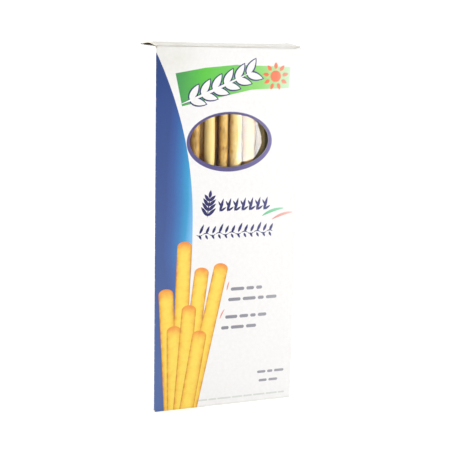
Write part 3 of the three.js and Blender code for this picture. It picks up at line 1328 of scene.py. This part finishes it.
class Walk:
    """The middle line of a board, followed from a start through its moves."""

    def __init__(self, start: Point, heading: float, moves: list[Move]) -> None:
        """Work out where each move starts and how it curves.

        Args:
            start: The first place.
            heading: The first direction, in radians from the first axis.
            moves: The stretches in order.
        """
        self.begins, self.places, self.headings, self.curves = [], [], [], []
        travelled, place = 0.0, np.array(start, float)
        for move in moves:
            self.begins.append(travelled)
            self.places.append(place)
            self.headings.append(heading)
            self.curves.append(move.turn / move.length)
            travelled += move.length
            place = place + self.chord(move.length, heading, move.turn / move.length)
            heading += move.turn
        self.length = travelled

    @staticmethod
    def chord(length: Measure, heading: Measure, curve: Measure) -> np.ndarray:
        """Step from the start of an arc to its end.

        Args:
            length: The arc's length.
            heading: Its first direction.
            curve: How far it turns in each millimetre.

        Returns:
            The step.
        """
        across = length * np.sinc(curve * length / (2 * np.pi))
        middle = heading + curve * length / 2
        return np.stack([across * np.cos(middle), across * np.sin(middle)], axis=-1)

    def locate(self, along: np.ndarray) -> tuple[np.ndarray, np.ndarray]:
        """Find places along the line.

        Args:
            along: Distances from the start.

        Returns:
            The places and the headings there.
        """
        number = np.clip(np.searchsorted(self.begins, along, side="right") - 1, 0, len(self.begins) - 1)
        rest = along - np.array(self.begins)[number]
        heading, curve = np.array(self.headings)[number], np.array(self.curves)[number]
        return np.array(self.places)[number] + self.chord(rest, heading, curve), heading + curve * rest


@dataclass
class Panel:
    """One wall in the unrolled blank, and the flaps that fold in from it.

    A flap's fold starts at a height and is followed by its walk, whose first axis points into the carton. A
    wall that ends in a cut edge has a walk of one move there.
    """

    left: float
    right: float
    top_start: float
    top: Walk
    bottom_start: float
    bottom: Walk
    warp: float
    areas: list[PrintedArea] = field(default_factory=list)

    @property
    def width(self) -> float:
        """The wall's width."""
        return self.right - self.left

    def ends(self) -> tuple[tuple[Walk, float, int], tuple[Walk, float, int]]:
        """Give each end's walk, its start, and 1 upwards or -1 downwards."""
        return (self.top, self.top_start, 1), (self.bottom, self.bottom_start, -1)


@dataclass(frozen=True)
class DustCut:
    """How a dust flap is cut: drawn in from its wall's creases, and narrower towards its end.

    Its straight sides start at a root and run to a share of its reach.
    """

    inset: float = 0.8
    root: float = 1.2
    straight: float = 0.45
    corner: float = 1.5
    front_side: float = 5.0
    back_side: float = 0.8

    def points(self, panel: Panel, start: float, reach: float, near: float, far: float) -> list[Point]:
        """Cut the flap.

        Args:
            panel: The wall that it folds in from.
            start: Where it leaves the wall.
            reach: Its length, downwards if negative.
            near: How far its left side is drawn in at its end.
            far: How far its right side is drawn in at its end.

        Returns:
            The flap's cut line from left to right.
        """
        way = math.copysign(1.0, reach)
        points = []
        for edge, side, drawn in ((panel.left, 1, near), (panel.right, -1, far)):
            inset = edge + side * self.inset
            end = inset + side * drawn
            cut = [(edge, start), (inset, start + way * self.root), (inset, start + reach * self.straight)]
            cut += [(end, start + reach - way * self.corner), (end + side * self.corner, start + reach)]
            points += cut[::side]
        return points


@dataclass(frozen=True)
class TuckCut:
    """How a closure panel's tuck flap is cut: a little narrower than its panel, with round corners."""

    radius: float = 7.0
    inset: float = 0.7
    shoulder: float = 0.6
    steps: int = 6

    def points(self, panel: Panel, end: float, tuck: float, way: int) -> list[Point]:
        """Cut the flap.

        Args:
            panel: The wall that it folds in from.
            end: The tuck flap's edge.
            tuck: The tuck flap's length.
            way: 1 upwards and -1 downwards.

        Returns:
            The cut line from left to right.
        """
        fold = end - way * tuck
        points = [(panel.left, fold), (panel.left + self.inset, fold + way * self.shoulder)]
        for edge, side in ((panel.left, -1), (panel.right, 1)):
            middle = edge - side * (self.inset + self.radius)
            for step in range(self.steps + 1):
                quarter = toward(math.pi / 2 * step / self.steps)
                across, along = quarter if side < 0 else quarter[::-1]
                points.append((middle + side * self.radius * across, end - way * self.radius * (1 - along)))
        return points + [(panel.right - self.inset, fold + way * self.shoulder), (panel.right, fold)]


@dataclass
class CartonBoard:
    """The whole carton: one printed blank, cut, creased and folded shut.

    The front's upper edge is cut low by its first drop at both ends. It slants to its second drop, and rises
    again between the two distances of its cut from the right end. The glue flap's ends are slanted.
    """

    board: float = 0.5
    crease: float = 0.55
    clearance: float = 0.3
    lid_rise: float = 1.2
    lid_slit: float = 0.3
    front_drop: Point = (0.3, 1.1)
    front_cut: Point = (3.6, 0.8)
    front_corner: float = 0.4
    front_wrap: float = 0.6
    tuck: float = 15.0
    dust_flap: float = 27.0
    glue_flap: float = 13.0
    glue_foot: Point = (14.0, 22.0)
    glue_head: Point = (12.0, 1.0)
    glue_room: float = 0.05
    seam: float = 0.5
    warps: tuple[float, float, float, float] = (0.3, 0.2, 0.1, 0.2)
    warp_curves: Point = (0.8, 0.5)
    warp_wave: float = 0.2
    wave_turns: Point = (2.3, 5.1)
    warp_step: float = 0.4
    hinge_bulge: float = 0.88
    bulge_start: float = 0.3
    bulge_away: Point = (6.0, 5.0)
    bulge_rise: float = 3.0
    lid_dip: float = 0.45
    dip_reach: float = 9.0
    steps: int = 4
    flex: float = 23.0
    grid: float = 7.0
    lid_grid: tuple[int, int] = (14, 12)
    window_margin: float = 5.0
    window_steps: int = 112
    weld: float = 0.00001
    within: float = 0.0001
    crease_edge: float = 0.01
    crease_turn: float = 0.3

    def __post_init__(self) -> None:
        """Read the carton's size from the frame and lay out the blank."""
        low, high = box_mm("carton")
        self.width, self.depth = high[0] - low[0], high[1] - low[1]
        self.height = high[2] - self.lid_rise - self.board
        self.half_x = self.width / 2 - self.board / 2
        self.half_y = self.depth / 2 - self.board / 2
        self.arc = self.crease * math.pi / 2
        self.flat_x, self.flat_y = self.half_x - self.crease, self.half_y - self.crease
        self.side_top = self.height - self.lid_slit - self.board / 2 - self.crease
        self.side_bottom = self.board + self.clearance + self.board / 2 + self.crease
        pane_low, pane_high = box_mm("window_film")
        self.window_middle = (pane_low + pane_high)[[0, 2]] / 2
        self.window_half = (pane_high - pane_low)[[0, 2]] / 2 - self.window_margin
        self.ring = self.make_ring()
        self.corners = self.ring.begins[1::2]
        self.panels = self.make_panels()
        self.printed = [(panel, area) for panel in self.panels for area in panel.areas]

    def make_ring(self) -> Walk:
        """Walk round the walls from the back panel's cut edge, over the left, front and right walls."""
        quarter = Move(self.arc, math.pi / 2)
        right_wall = Move(2 * self.flat_y - self.board - self.glue_room)
        moves = [Move(2 * self.flat_x + self.seam), quarter, Move(2 * self.flat_y), quarter]
        moves += [Move(2 * self.flat_x), quarter, right_wall, quarter, Move(self.glue_flap)]
        return Walk((self.flat_x + self.seam, self.half_y), math.pi, moves)

    def make_panels(self) -> list[Panel]:
        """Lay out the back, left, front and right walls with their flaps."""
        span = 2 * self.half_y - self.board - self.clearance - 2 * self.crease
        slope = 2 * math.atan(2 * self.lid_rise / span)
        bend = span * slope / math.sin(slope) / 4
        fold = Move(self.arc, -math.pi / 2)
        lid = [fold, Move(bend, slope), Move(2 * bend, -2 * slope), Move(bend, slope), fold, Move(self.tuck)]
        base = [fold, Move(span), fold, Move(self.tuck)]
        dust = [fold, Move(self.dust_flap)]
        cut = [Move(1.0)]
        top, foot = self.height + self.board / 2 - self.crease, self.board / 2 + self.crease
        layout = (
            (top, lid, 0.0, cut, BackPrint().areas()),
            (self.side_top, dust, self.side_bottom, dust, []),
            (self.height, cut, foot, base, FrontPrint().areas()),
            (self.side_top, dust, self.side_bottom, dust, []),
        )
        panels = []
        for number, (rise, up, drop, down, areas) in enumerate(layout):
            left, right = self.ring.begins[2 * number:2 * number + 2]
            left += 0.0 if number else self.seam
            above, below = Walk((0.0, rise), math.pi / 2, up), Walk((0.0, -drop), math.pi / 2, down)
            panels.append(Panel(left, right, rise, above, drop, below, self.warps[number], areas))
        return panels

    def outline(self) -> list[Point]:
        """Give the blank's cut line, counter-clockwise, with X round the walls and Y up them."""
        back, left, front, right = self.panels
        high, low = self.side_top, self.side_bottom
        dust, tuck, reach = DustCut(), TuckCut(), self.arc + self.dust_flap
        glue, glue_end = self.ring.begins[-1], self.ring.length
        points = [(0.0, low), (back.left, 0.0), (back.right, 0.0), (back.right, low)]
        points += dust.points(left, low, -reach, dust.back_side, dust.front_side)
        points += [(front.left, low)]
        points += tuck.points(front, front.bottom_start - front.bottom.length, self.tuck, -1)
        points += [(front.right, low)]
        points += dust.points(right, low, -reach, dust.front_side, dust.back_side)
        points += [(right.right, low), (glue, low + self.glue_foot[0]), (glue_end, low + self.glue_foot[1])]
        points += [(glue_end, high - self.glue_head[0]), (glue, high - self.glue_head[1])]
        points += [(right.right, high)]
        points += dust.points(right, high, reach, dust.front_side, dust.back_side)[::-1]
        points += self.front_edge()
        points += dust.points(left, high, reach, dust.back_side, dust.front_side)[::-1]
        points += [(back.right, high)]
        points += tuck.points(back, back.top_start + back.top.length, self.tuck, 1)[::-1]
        return points + [(back.left, high), (0.0, high)]

    def front_edge(self) -> list[Point]:
        """Give the front panel's upper edge from right to left. It runs a little round its right corner."""
        front, corner = self.panels[2], self.front_corner
        crown, low_crown = (self.height - drop for drop in self.front_drop)
        shoulder = front.right + self.front_wrap * self.arc
        points = [(shoulder, self.side_top), (shoulder, crown - corner), (shoulder - corner, crown)]
        points += [(front.right - self.front_cut[1], crown), (front.right - self.front_cut[0], low_crown)]
        points += [(front.left + corner, crown), (front.left, crown - corner)]
        return points + [(front.left, self.side_top)]

    def crease_lines(self) -> list[tuple[Point, Point]]:
        """Give the lines that keep the mesh even across the creases and the lid's bow."""
        lines = []
        for begin in self.corners:
            for step in range(self.steps + 1):
                across = begin + self.arc * step / self.steps
                lines.append(((across, self.side_bottom), (across, self.side_top)))
        for panel in self.panels:
            for walk, root, way in panel.ends():
                marks = []
                for begin, end, curve in zip(walk.begins, [*walk.begins[1:], walk.length], walk.curves):
                    turns = math.ceil(abs(curve) * (end - begin) / math.radians(self.flex))
                    pieces = max(1, turns, math.ceil((end - begin) / self.grid) if curve else 1)
                    marks += [begin + (end - begin) * piece / pieces for piece in range(pieces)]
                if len(walk.begins) > 1:
                    levels = [root + way * mark for mark in marks]
                    lines += [((panel.left, level), (panel.right, level)) for level in levels]
        return lines

    def window(self) -> list[Point]:
        """Give the window's cut line in the blank."""
        middle = (self.panels[2].left + self.flat_x + self.window_middle[0], self.window_middle[1])
        return oval(middle, tuple(self.window_half), self.window_steps)

    def print_shift(self, panel: Panel) -> float:
        """Give the place in the blank from which a panel's print is measured."""
        return panel.left - self.crease - self.board / 2

    def triangulate(self) -> tuple[np.ndarray, list[Face], list[list[int]]]:
        """Cut the blank into triangles along every cut line, crease and edge of ink.

        Returns:
            The places in the blank, the triangles, and for each the closed lines that cover it.
        """
        shapes = [self.outline(), self.window()]
        for panel, area in self.printed:
            shift = self.print_shift(panel)
            shapes.append([(x + shift, z) for x, z in area.outline])
        corners: list[Point] = []
        loops = []
        for points in shapes:
            flat = np.array(points)
            area = np.sum(flat[:, 0] * np.roll(flat[:, 1], -1) - flat[:, 1] * np.roll(flat[:, 0], -1))
            loops.append(list(range(len(corners), len(corners) + len(points))))
            corners.extend(points if area > 0 else points[::-1])
        edges = []
        for line in self.crease_lines():
            edges.append((len(corners), len(corners) + 1))
            corners.extend(line)
        corners.extend(self.grid_points())
        cut = delaunay_2d_cdt([Vector(point) for point in corners], edges, loops, 0, self.weld, True)
        places, _, triangles, _, _, covers = cut
        kept = [(face, cover) for face, cover in zip(triangles, covers) if 0 in cover and 1 not in cover]
        used = sorted({corner for face, _ in kept for corner in face})
        number = {corner: place for place, corner in enumerate(used)}
        flat = np.array([tuple(places[corner]) for corner in used])
        faces = [tuple(number[corner] for corner in face) for face, _ in kept]
        return flat, faces, [cover for _, cover in kept]

    def grid_points(self) -> list[Point]:
        """Spread points over the flat walls and the lid, so that they can bow."""
        points = []
        for panel in self.panels:
            columns, rows = max(2, round(panel.width / self.grid)), round(self.height / self.grid)
            for row in range(1, rows):
                up = self.side_bottom + (self.side_top - self.side_bottom) * row / rows
                points += [(panel.left + panel.width * column / columns, up) for column in range(columns + 1)]
        back, (columns, rows) = self.panels[0], self.lid_grid
        start, reach = back.top_start + self.arc, self.lid_reach()
        for row in range(1, rows):
            up = start + reach * row / rows
            points += [(back.left + back.width * column / columns, up) for column in range(1, columns)]
        return points

    def lid_reach(self) -> float:
        """Give the lid's length between its two folds."""
        return self.panels[0].top.length - self.tuck - 2 * self.arc

    def lift(self, flat: np.ndarray) -> np.ndarray:
        """Give how far each place of the lid stands off its even crown.

        Args:
            flat: Places in the blank.

        Returns:
            The heights: up beside the left end of its hinge, and down towards its right.
        """
        back, reach = self.panels[0], self.lid_reach()
        leftward = smooth(back.left + self.bulge_start * self.width, back.right, flat[:, 0])
        away = flat[:, 1] - back.top_start - self.arc
        middle, spread = self.bulge_away
        bulge = self.hinge_bulge * leftward * np.exp(-((away - middle) / spread) ** 2)
        bulge = bulge * smooth(0.0, self.bulge_rise, away)
        dip = self.lid_dip * (1 - leftward) * np.exp(-((away - reach / 2) / self.dip_reach) ** 2)
        on_lid = (away > 0) & (away < reach) & (flat[:, 0] > back.left) & (flat[:, 0] < back.right)
        return np.where(on_lid, bulge - dip, 0.0)

    def bow(self, flat: np.ndarray) -> np.ndarray:
        """Pull the walls and the lid in from their even shape.

        Args:
            flat: Places in the blank.

        Returns:
            How far each place is pulled in.
        """
        pulled = np.zeros(len(flat))
        for panel in self.panels:
            across = (flat[:, 0] - panel.left) / panel.width
            up = (flat[:, 1] - self.side_bottom) / (self.side_top - self.side_bottom)
            inside = (across > 0) & (across < 1) & (up > 0) & (up < 1)
            dish = np.sin(np.pi * np.clip(across, 0, 1)) ** self.warp_curves[0]
            dish = dish * np.sin(np.pi * np.clip(up, 0, 1)) ** self.warp_curves[1]
            turn = self.wave_turns[1] * up + self.wave_turns[0] * across + panel.left
            wave = 1 - self.warp_wave + self.warp_wave * np.sin(turn)
            pulled += np.where(inside, panel.warp * dish * wave, 0.0)
        return pulled - self.lift(flat)

    def slope(self, flat: np.ndarray, step: Point) -> np.ndarray:
        """Give how steeply the bow rises at each place, measured over a step either way."""
        return (self.bow(flat + step) - self.bow(flat - step)) / (2 * self.warp_step)

    def fold(self, flat: np.ndarray) -> tuple[np.ndarray, np.ndarray, np.ndarray]:
        """Carry places of the blank to the folded carton.

        Args:
            flat: Places in the blank.

        Returns:
            The places on the board's middle, the outward normals, and 1 where the board is creased.
        """
        across, up = flat[:, 0], flat[:, 1]
        ring, heading = self.ring.locate(across)
        inward = np.stack([-np.sin(heading), np.cos(heading)], axis=1)
        depth, level, rise = np.zeros(len(flat)), up.copy(), np.full(len(flat), math.pi / 2)
        creased = np.zeros(len(flat))
        for begin in self.corners:
            end = begin + self.arc
            creased[(across > begin + self.crease_edge) & (across < end - self.crease_edge)] = 1.0
        for panel in self.panels:
            inside = (across > panel.left - self.within) & (across < panel.right + self.within)
            for walk, root, way in panel.ends():
                beyond = inside & (way * (up - root) > 0)
                places, angles = walk.locate(way * (up[beyond] - root))
                depth[beyond], level[beyond] = places[:, 0], way * places[:, 1]
                rise[beyond] = angles if way > 0 else math.pi - angles
                square = np.round(angles / (math.pi / 2)) * math.pi / 2
                creased[beyond] = np.abs(angles - square) > self.crease_turn
        normal = np.column_stack([-inward * np.sin(rise)[:, None], np.cos(rise)])
        place = np.column_stack([ring + inward * depth[:, None], level])
        ahead = np.stack([np.cos(heading), np.sin(heading), np.zeros(len(flat))], axis=1)
        upward = np.column_stack([inward * np.cos(rise)[:, None], np.sin(rise)])
        slope_x = self.slope(flat, (self.warp_step, 0.0))
        slope_z = self.slope(flat, (0.0, self.warp_step))
        place -= normal * self.bow(flat)[:, None]
        normal = normal + ahead * slope_x[:, None] + upward * slope_z[:, None]
        return place, normal / np.linalg.norm(normal, axis=1)[:, None], creased

    def build(self) -> None:
        """Make, dress and place the carton's board."""
        flat, faces, covers = self.triangulate()
        place, normal, creased = self.fold(flat)
        skins = np.concatenate([place + normal * self.board / 2, place - normal * self.board / 2])
        inner, rims = far_side(faces, len(flat))
        piece = mesh_piece("carton_board", skins, faces + inner + rims)
        self.dress(piece, flat, faces, covers)
        set_values(piece, "crease", "POINT", np.concatenate([creased, creased]))
        directions = np.concatenate([normal, -normal]).tolist()
        loops = [directions[corner] for face in faces + inner for corner in face]
        piece.data.normals_split_custom_set(loops + [(0.0, 0.0, 0.0)] * (4 * len(rims)))
        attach(piece, BODY)
        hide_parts("carton")
        LOG.info("carton_board: %d faces, %d areas of ink", len(piece.data.polygons), len(self.printed))

    def dress(
        self, piece: bpy.types.Object, flat: np.ndarray, faces: list[Face], covers: list[list[int]]
    ) -> None:
        """Give each face its ink, raw board or cut edge, and store where printed sticks run.

        Args:
            piece: The board: its outer skin, as many faces of its inner skin, and its cut edges.
            flat: The outer skin's places in the blank.
            faces: The outer skin's triangles.
            covers: The closed lines that cover each triangle.
        """
        inks = list(Ink)
        for ink in inks:
            piece.data.materials.append(CoatedBoard().material("print_" + ink.name.lower(), ink.value))
        piece.data.materials.append(RawBoard().material("raw_board"))
        piece.data.materials.append(RawBoard("e6e2d6", "b9b2a2").material("cut_board", 2.0))
        rims = len(piece.data.polygons) - 2 * len(faces)
        slots = np.repeat([0, len(inks), len(inks) + 1], [len(faces), len(faces), rims])
        across, along = np.zeros(len(piece.data.loops)), np.zeros(len(piece.data.loops))
        for number, (face, cover) in enumerate(zip(faces, covers)):
            top = max(cover) - 2
            if top < 0:
                continue
            panel, area = self.printed[top]
            slots[number] = inks.index(area.ink)
            if area.middle:
                foot, tip = (np.array(point) + (self.print_shift(panel), 0) for point in area.middle)
                ahead = (tip - foot) / np.linalg.norm(tip - foot)
                back = tip - flat[list(face)]
                loops = slice(3 * number, 3 * number + 3)
                across[loops] = (back[:, 0] * ahead[1] - back[:, 1] * ahead[0]) / area.half_width
                along[loops] = back @ ahead
        piece.data.polygons.foreach_set("material_index", slots.tolist())
        set_values(piece, "across", "CORNER", across)
        set_values(piece, "along", "CORNER", along)
        piece.data.polygons.foreach_set("use_smooth", [True] * (2 * len(faces)) + [False] * rims)


# ---------------------------------------------------------------------------------------------------------
# Pane


@dataclass
class WindowPane:
    """The clear film glued behind the window, taut, with a turned-up rim on its right and soft ripples.

    The film turns up outside an arch that bulges to the right of its start. The arch ends short of the film's
    top and foot, and the film is up to its full height a reach further out.
    """

    thickness: float = 0.08
    proud: float = 0.2
    sag: float = 0.25
    step: float = 1.0
    corner: float = 3.0
    rim_short: Point = (4.4, 6.4)
    rim_start: float = 6.8
    rim_bulge: float = 13.5
    rim_reach: float = 5.5
    rim_power: float = 1.5
    ripple: float = 0.003
    ripple_turns: Point = (0.35, 0.21)
    ripple_bend: float = 0.8

    def shape(self, half_x: float, half_z: float) -> tuple[np.ndarray, np.ndarray, np.ndarray, list[Face]]:
        """Shape the film's near side, with round corners.

        Args:
            half_x: Half its width.
            half_z: Half its height.

        Returns:
            Each place's X and Z from the film's middle, how far it lies in, and the faces.
        """
        columns, rows = round(2 * half_x / self.step), round(2 * half_z / self.step)
        x, z = np.meshgrid(np.linspace(-half_x, half_x, columns + 1), np.linspace(-half_z, half_z, rows + 1))
        x, z = x.ravel(), z.ravel()
        corner_x = np.maximum(np.abs(x) - (half_x - self.corner), 0)
        corner_z = np.maximum(np.abs(z) - (half_z - self.corner), 0)
        shrink = self.corner / np.maximum(np.hypot(corner_x, corner_z), self.corner)
        bent_x = np.sign(x) * (np.minimum(np.abs(x), half_x - self.corner) + corner_x * shrink)
        bent_z = np.sign(z) * (np.minimum(np.abs(z), half_z - self.corner) + corner_z * shrink)
        arch = half_z - np.where(bent_z > 0, *self.rim_short)
        start = self.rim_start + self.rim_bulge * np.sqrt(np.clip(1 - (bent_z / arch) ** 2, 0, 1))
        lift = np.clip((bent_x - start) / self.rim_reach, 0, 1) ** self.rim_power
        turn_x, turn_z = self.ripple_turns
        ripple = self.ripple * np.sin(turn_x * bent_x + self.ripple_bend * np.sin(turn_z * bent_z))
        return bent_x, bent_z, self.sag * (1 - lift) + ripple, grid_faces(columns, rows)

    def build(self) -> None:
        """Make, dress and place the film."""
        low, high = box_mm("window_film")
        x, z, dish, faces = self.shape(*(high - low)[[0, 2]] / 2)
        middle_x, middle_z = (high + low)[[0, 2]] / 2
        near = np.stack([x + middle_x, low[1] - self.proud + dish, z + middle_z], axis=1)
        back, rims = far_side(faces, len(near))
        places = np.concatenate([near, near + (0.0, self.thickness, 0.0)])
        piece = mesh_piece("window_pane", places, faces + back + rims)
        piece.data.materials.append(ClearFilm().material("clear_film"))
        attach(piece, BODY)
        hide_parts("window_film")
        LOG.info("window_pane: %d faces", len(piece.data.polygons))


# ---------------------------------------------------------------------------------------------------------
# Sticks


@dataclass
class Breadstick:
    """One stick, uneven along its length, with blisters and rounded ends, and painted shade on its sides
    towards its neighbours.

    A waist is how much thinner the stick is beside the window, and its shift is how far it leans there.
    """

    node: str
    number: int
    sides: int
    rings: int
    bake_and_shade: float
    waist: float = 0.0
    shift: float = 0.0
    waist_height: float = 168.8
    waist_reach: float = 34.0
    radius_share: float = 0.94
    lump: float = 0.065
    fine_lump: float = 0.32
    swell_length: float = 11.0
    fine_length: float = 2.6
    swell_bake: float = 0.22
    fine_bake: float = 0.12
    # Browning of the sides that face the neighbouring sticks, which is painted shade between them.
    painted_side_shade: float = 0.34
    side_power: int = 4
    blisters: int = 46
    blister_size: Point = (0.7, 1.9)
    blister_rise: Point = (0.02, 0.07)
    blister_stretch: float = 1.5
    blister_bake: float = 0.24
    rise_bake: float = 2.2
    sway: float = 0.04
    sway_turns: tuple[float, float, float] = (5.0, 6.0, 3.0)
    end_rings: tuple[float, ...] = (0.0, 0.35, 0.8, 1.4, 2.4)
    end_share: float = 0.62
    end_bake: float = 0.38
    end_bake_reach: float = 9.0
    relief_seed: int = 31
    bend_seed: int = 7
    noise_step: float = 17.0

    def relief(
        self, turn: np.ndarray, share: np.ndarray, radius: float, length: float
    ) -> tuple[np.ndarray, np.ndarray]:
        """Work out the skin's height and browning.

        Args:
            turn: Angles round the stick.
            share: Places along it, from 0 to 1.
            radius: The stick's radius.
            length: The stick's length.

        Returns:
            The radius as a share of the whole one, and how far the skin is browned, with painted shade on its
            sides.
        """
        draw = random.Random(SEED + self.relief_seed * self.number)
        shift, finer = self.noise_step * self.number, self.fine_length
        swell = np.array([
            noise.noise((math.cos(t), math.sin(t) + shift, s * length / self.swell_length))
            for t, s in zip(turn, share)
        ])
        fine = np.array([
            noise.noise((finer * math.cos(t) + shift, finer * math.sin(t), s * length / finer))
            for t, s in zip(turn, share)
        ])
        height = 1.0 + self.lump * swell + self.fine_lump * self.lump * fine
        # Painted shade: the sides that face the neighbouring sticks are browned.
        side = self.painted_side_shade * np.abs(np.cos(turn)) ** self.side_power
        browning_and_shade = self.bake_and_shade + self.swell_bake * swell + self.fine_bake * fine + side
        for _ in range(self.blisters):
            at_turn, at_share = draw.uniform(-math.pi, math.pi), draw.random()
            size, rise = draw.uniform(*self.blister_size), draw.uniform(*self.blister_rise)
            aside = radius * np.abs((turn - at_turn + math.pi) % (2 * math.pi) - math.pi)
            away = np.hypot(aside, (share - at_share) * length / self.blister_stretch) / size
            dome = np.clip(1 - away ** 2, 0, 1) ** 2
            height += rise * dome
            browning_and_shade += (self.blister_bake + self.rise_bake * rise) * dome
        return height, browning_and_shade

    def levels(self, length: float) -> tuple[np.ndarray, np.ndarray]:
        """Place the rings along the stick, closer together in its rounded ends.

        Args:
            length: The stick's length.

        Returns:
            Each ring's height over the stick's foot, and its share of the whole radius.
        """
        near_end = np.array(self.end_rings)
        end = near_end[-1]
        body = np.linspace(end, length - end, self.rings)[1:-1]
        level = np.concatenate([near_end, body, length - near_end[::-1]])
        depth = 1 - np.clip(np.minimum(level, length - level) / end, 0, 1)
        rounding = np.sqrt(np.clip(1 - depth ** 2, 0, 1))
        return level, self.end_share + (1 - self.end_share) * rounding

    def faces(self, levels: int) -> list[Face]:
        """Join the rings, and close each end round a vertex numbered on from them.

        Args:
            levels: How many rings there are.

        Returns:
            The faces.
        """
        sides = self.sides
        faces = []
        for start in range(0, (levels - 1) * sides, sides):
            for side in range(sides):
                a, b = start + side, start + (side + 1) % sides
                faces.append((a, b, b + sides, a + sides))
        last, foot = (levels - 1) * sides, levels * sides
        for side in range(sides):
            after = (side + 1) % sides
            faces.append((foot, after, side))
            faces.append((foot + 1, last + side, last + after))
        return faces

    def build(self, material: bpy.types.Material) -> bpy.types.Object:
        """Make, dress and place the stick.

        Args:
            material: The crust.

        Returns:
            The stick.
        """
        low, high = box_mm(self.node)
        middle, half = (low + high) / 2, (high - low) / 2
        length, radius = 2 * half[2], self.radius_share * min(half[0], half[1])
        level, rounding = self.levels(length)
        turns = np.linspace(-math.pi, math.pi, self.sides, endpoint=False)
        turn, up = np.tile(turns, len(level)), np.repeat(level, self.sides)
        height, browning_and_shade = self.relief(turn, up / length, radius, length)
        near_window = np.exp(-((up + low[2] - self.waist_height) / self.waist_reach) ** 2)
        reach = radius * height * np.repeat(rounding, self.sides) * (1 - self.waist * near_window)
        draw = random.Random(SEED + self.bend_seed * self.number)
        bend = [draw.uniform(-1, 1) for _ in range(4)]
        sway = np.sin(np.pi * up / length)
        turn_x, turn_y, late = self.sway_turns
        wave_x = np.sin(turn_x * up / length + late * bend[2])
        wave_y = np.sin(turn_y * up / length + late * bend[0])
        lean_x = self.sway * radius * (bend[0] * sway + bend[1] * wave_x) + self.shift * near_window
        lean_y = self.sway * radius * (bend[2] * sway + bend[3] * wave_y)
        places = np.stack([reach * np.cos(turn) + lean_x, reach * np.sin(turn) + lean_y, up], axis=1)
        for axis in (0, 1):
            start, end = places[:, axis].min(), places[:, axis].max()
            scale = min(1.0, 2 * half[axis] / (end - start))
            places[:, axis] = (places[:, axis] - (start + end) / 2) * scale
        places += (middle[0], middle[1], low[2])
        browning_and_shade = browning_and_shade + self.end_bake * smooth(self.end_bake_reach, 0.0, np.minimum(up, length - up))
        rows = (slice(0, self.sides), slice(len(places) - self.sides, None))
        tips = [places[row].mean(axis=0) for row in rows]
        tip_bakes = [browning_and_shade[row].mean() for row in rows]
        name = self.node.replace("stick", "breadstick")
        piece = mesh_piece(name, np.concatenate([places, tips]), self.faces(len(level)))
        # The bake stored here carries painted shade as well as browning.
        set_values(piece, "bake_and_shade", "POINT", np.concatenate([browning_and_shade, tip_bakes]))
        piece.data.materials.append(material)
        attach(piece, BODY)
        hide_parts(self.node)
        return piece


@dataclass
class StickFill:
    """All the sticks: the row behind the window in full detail, those behind it plainer.

    A detail is the sides and rings of a stick. The sticks in the window have a bake of their own, and some of
    them a waist and a shift. Their bakes are partly painted light and shade: stick 8's dark crust stands for
    the shadow of the window's right edge, and the others are paled or browned to stand for how they are lit.
    """

    front_row: int = 10
    total: int = 40
    front_detail: tuple[int, int] = (40, 215)
    plain_detail: tuple[int, int] = (20, 84)
    bakes: Point = (0.12, 0.42)
    # Painted light and shade: stick 8 is darkened for the shadow of the window's right edge, the others paled
    # or browned for how they are lit.
    window_bake_and_shade: dict[int, float] = field(
        default_factory=lambda: {3: 0.54, 4: -0.26, 5: 0.38, 6: 0.10, 7: 0.55, 8: 1.04}
    )
    window_waist: dict[int, Point] = field(
        default_factory=lambda: {3: (0.02, -1.3), 4: (-0.02, 0.6), 5: (0.16, 0.8)}
    )

    def build(self) -> None:
        """Make every stick and report it."""
        crust = BakedCrust().material("baked_crust")
        draw = random.Random(SEED)
        for number in range(1, self.total + 1):
            detail = self.front_detail if number <= self.front_row else self.plain_detail
            bake_and_shade = self.window_bake_and_shade.get(number, draw.uniform(*self.bakes))
            waist = self.window_waist.get(number, (0.0, 0.0))
            piece = Breadstick(f"stick_{number:02d}", number, *detail, bake_and_shade, *waist).build(crust)
            LOG.info("%s: %d faces", piece.name, len(piece.data.polygons))


def main() -> None:
    """Build the studio, the carton, its pane and its sticks."""
    logging.basicConfig(level=logging.INFO, format="%(name)s: %(message)s")
    Studio().build()
    CartonBoard().build()
    WindowPane().build()
    StickFill().build()


if __name__ == "__main__":
    main()
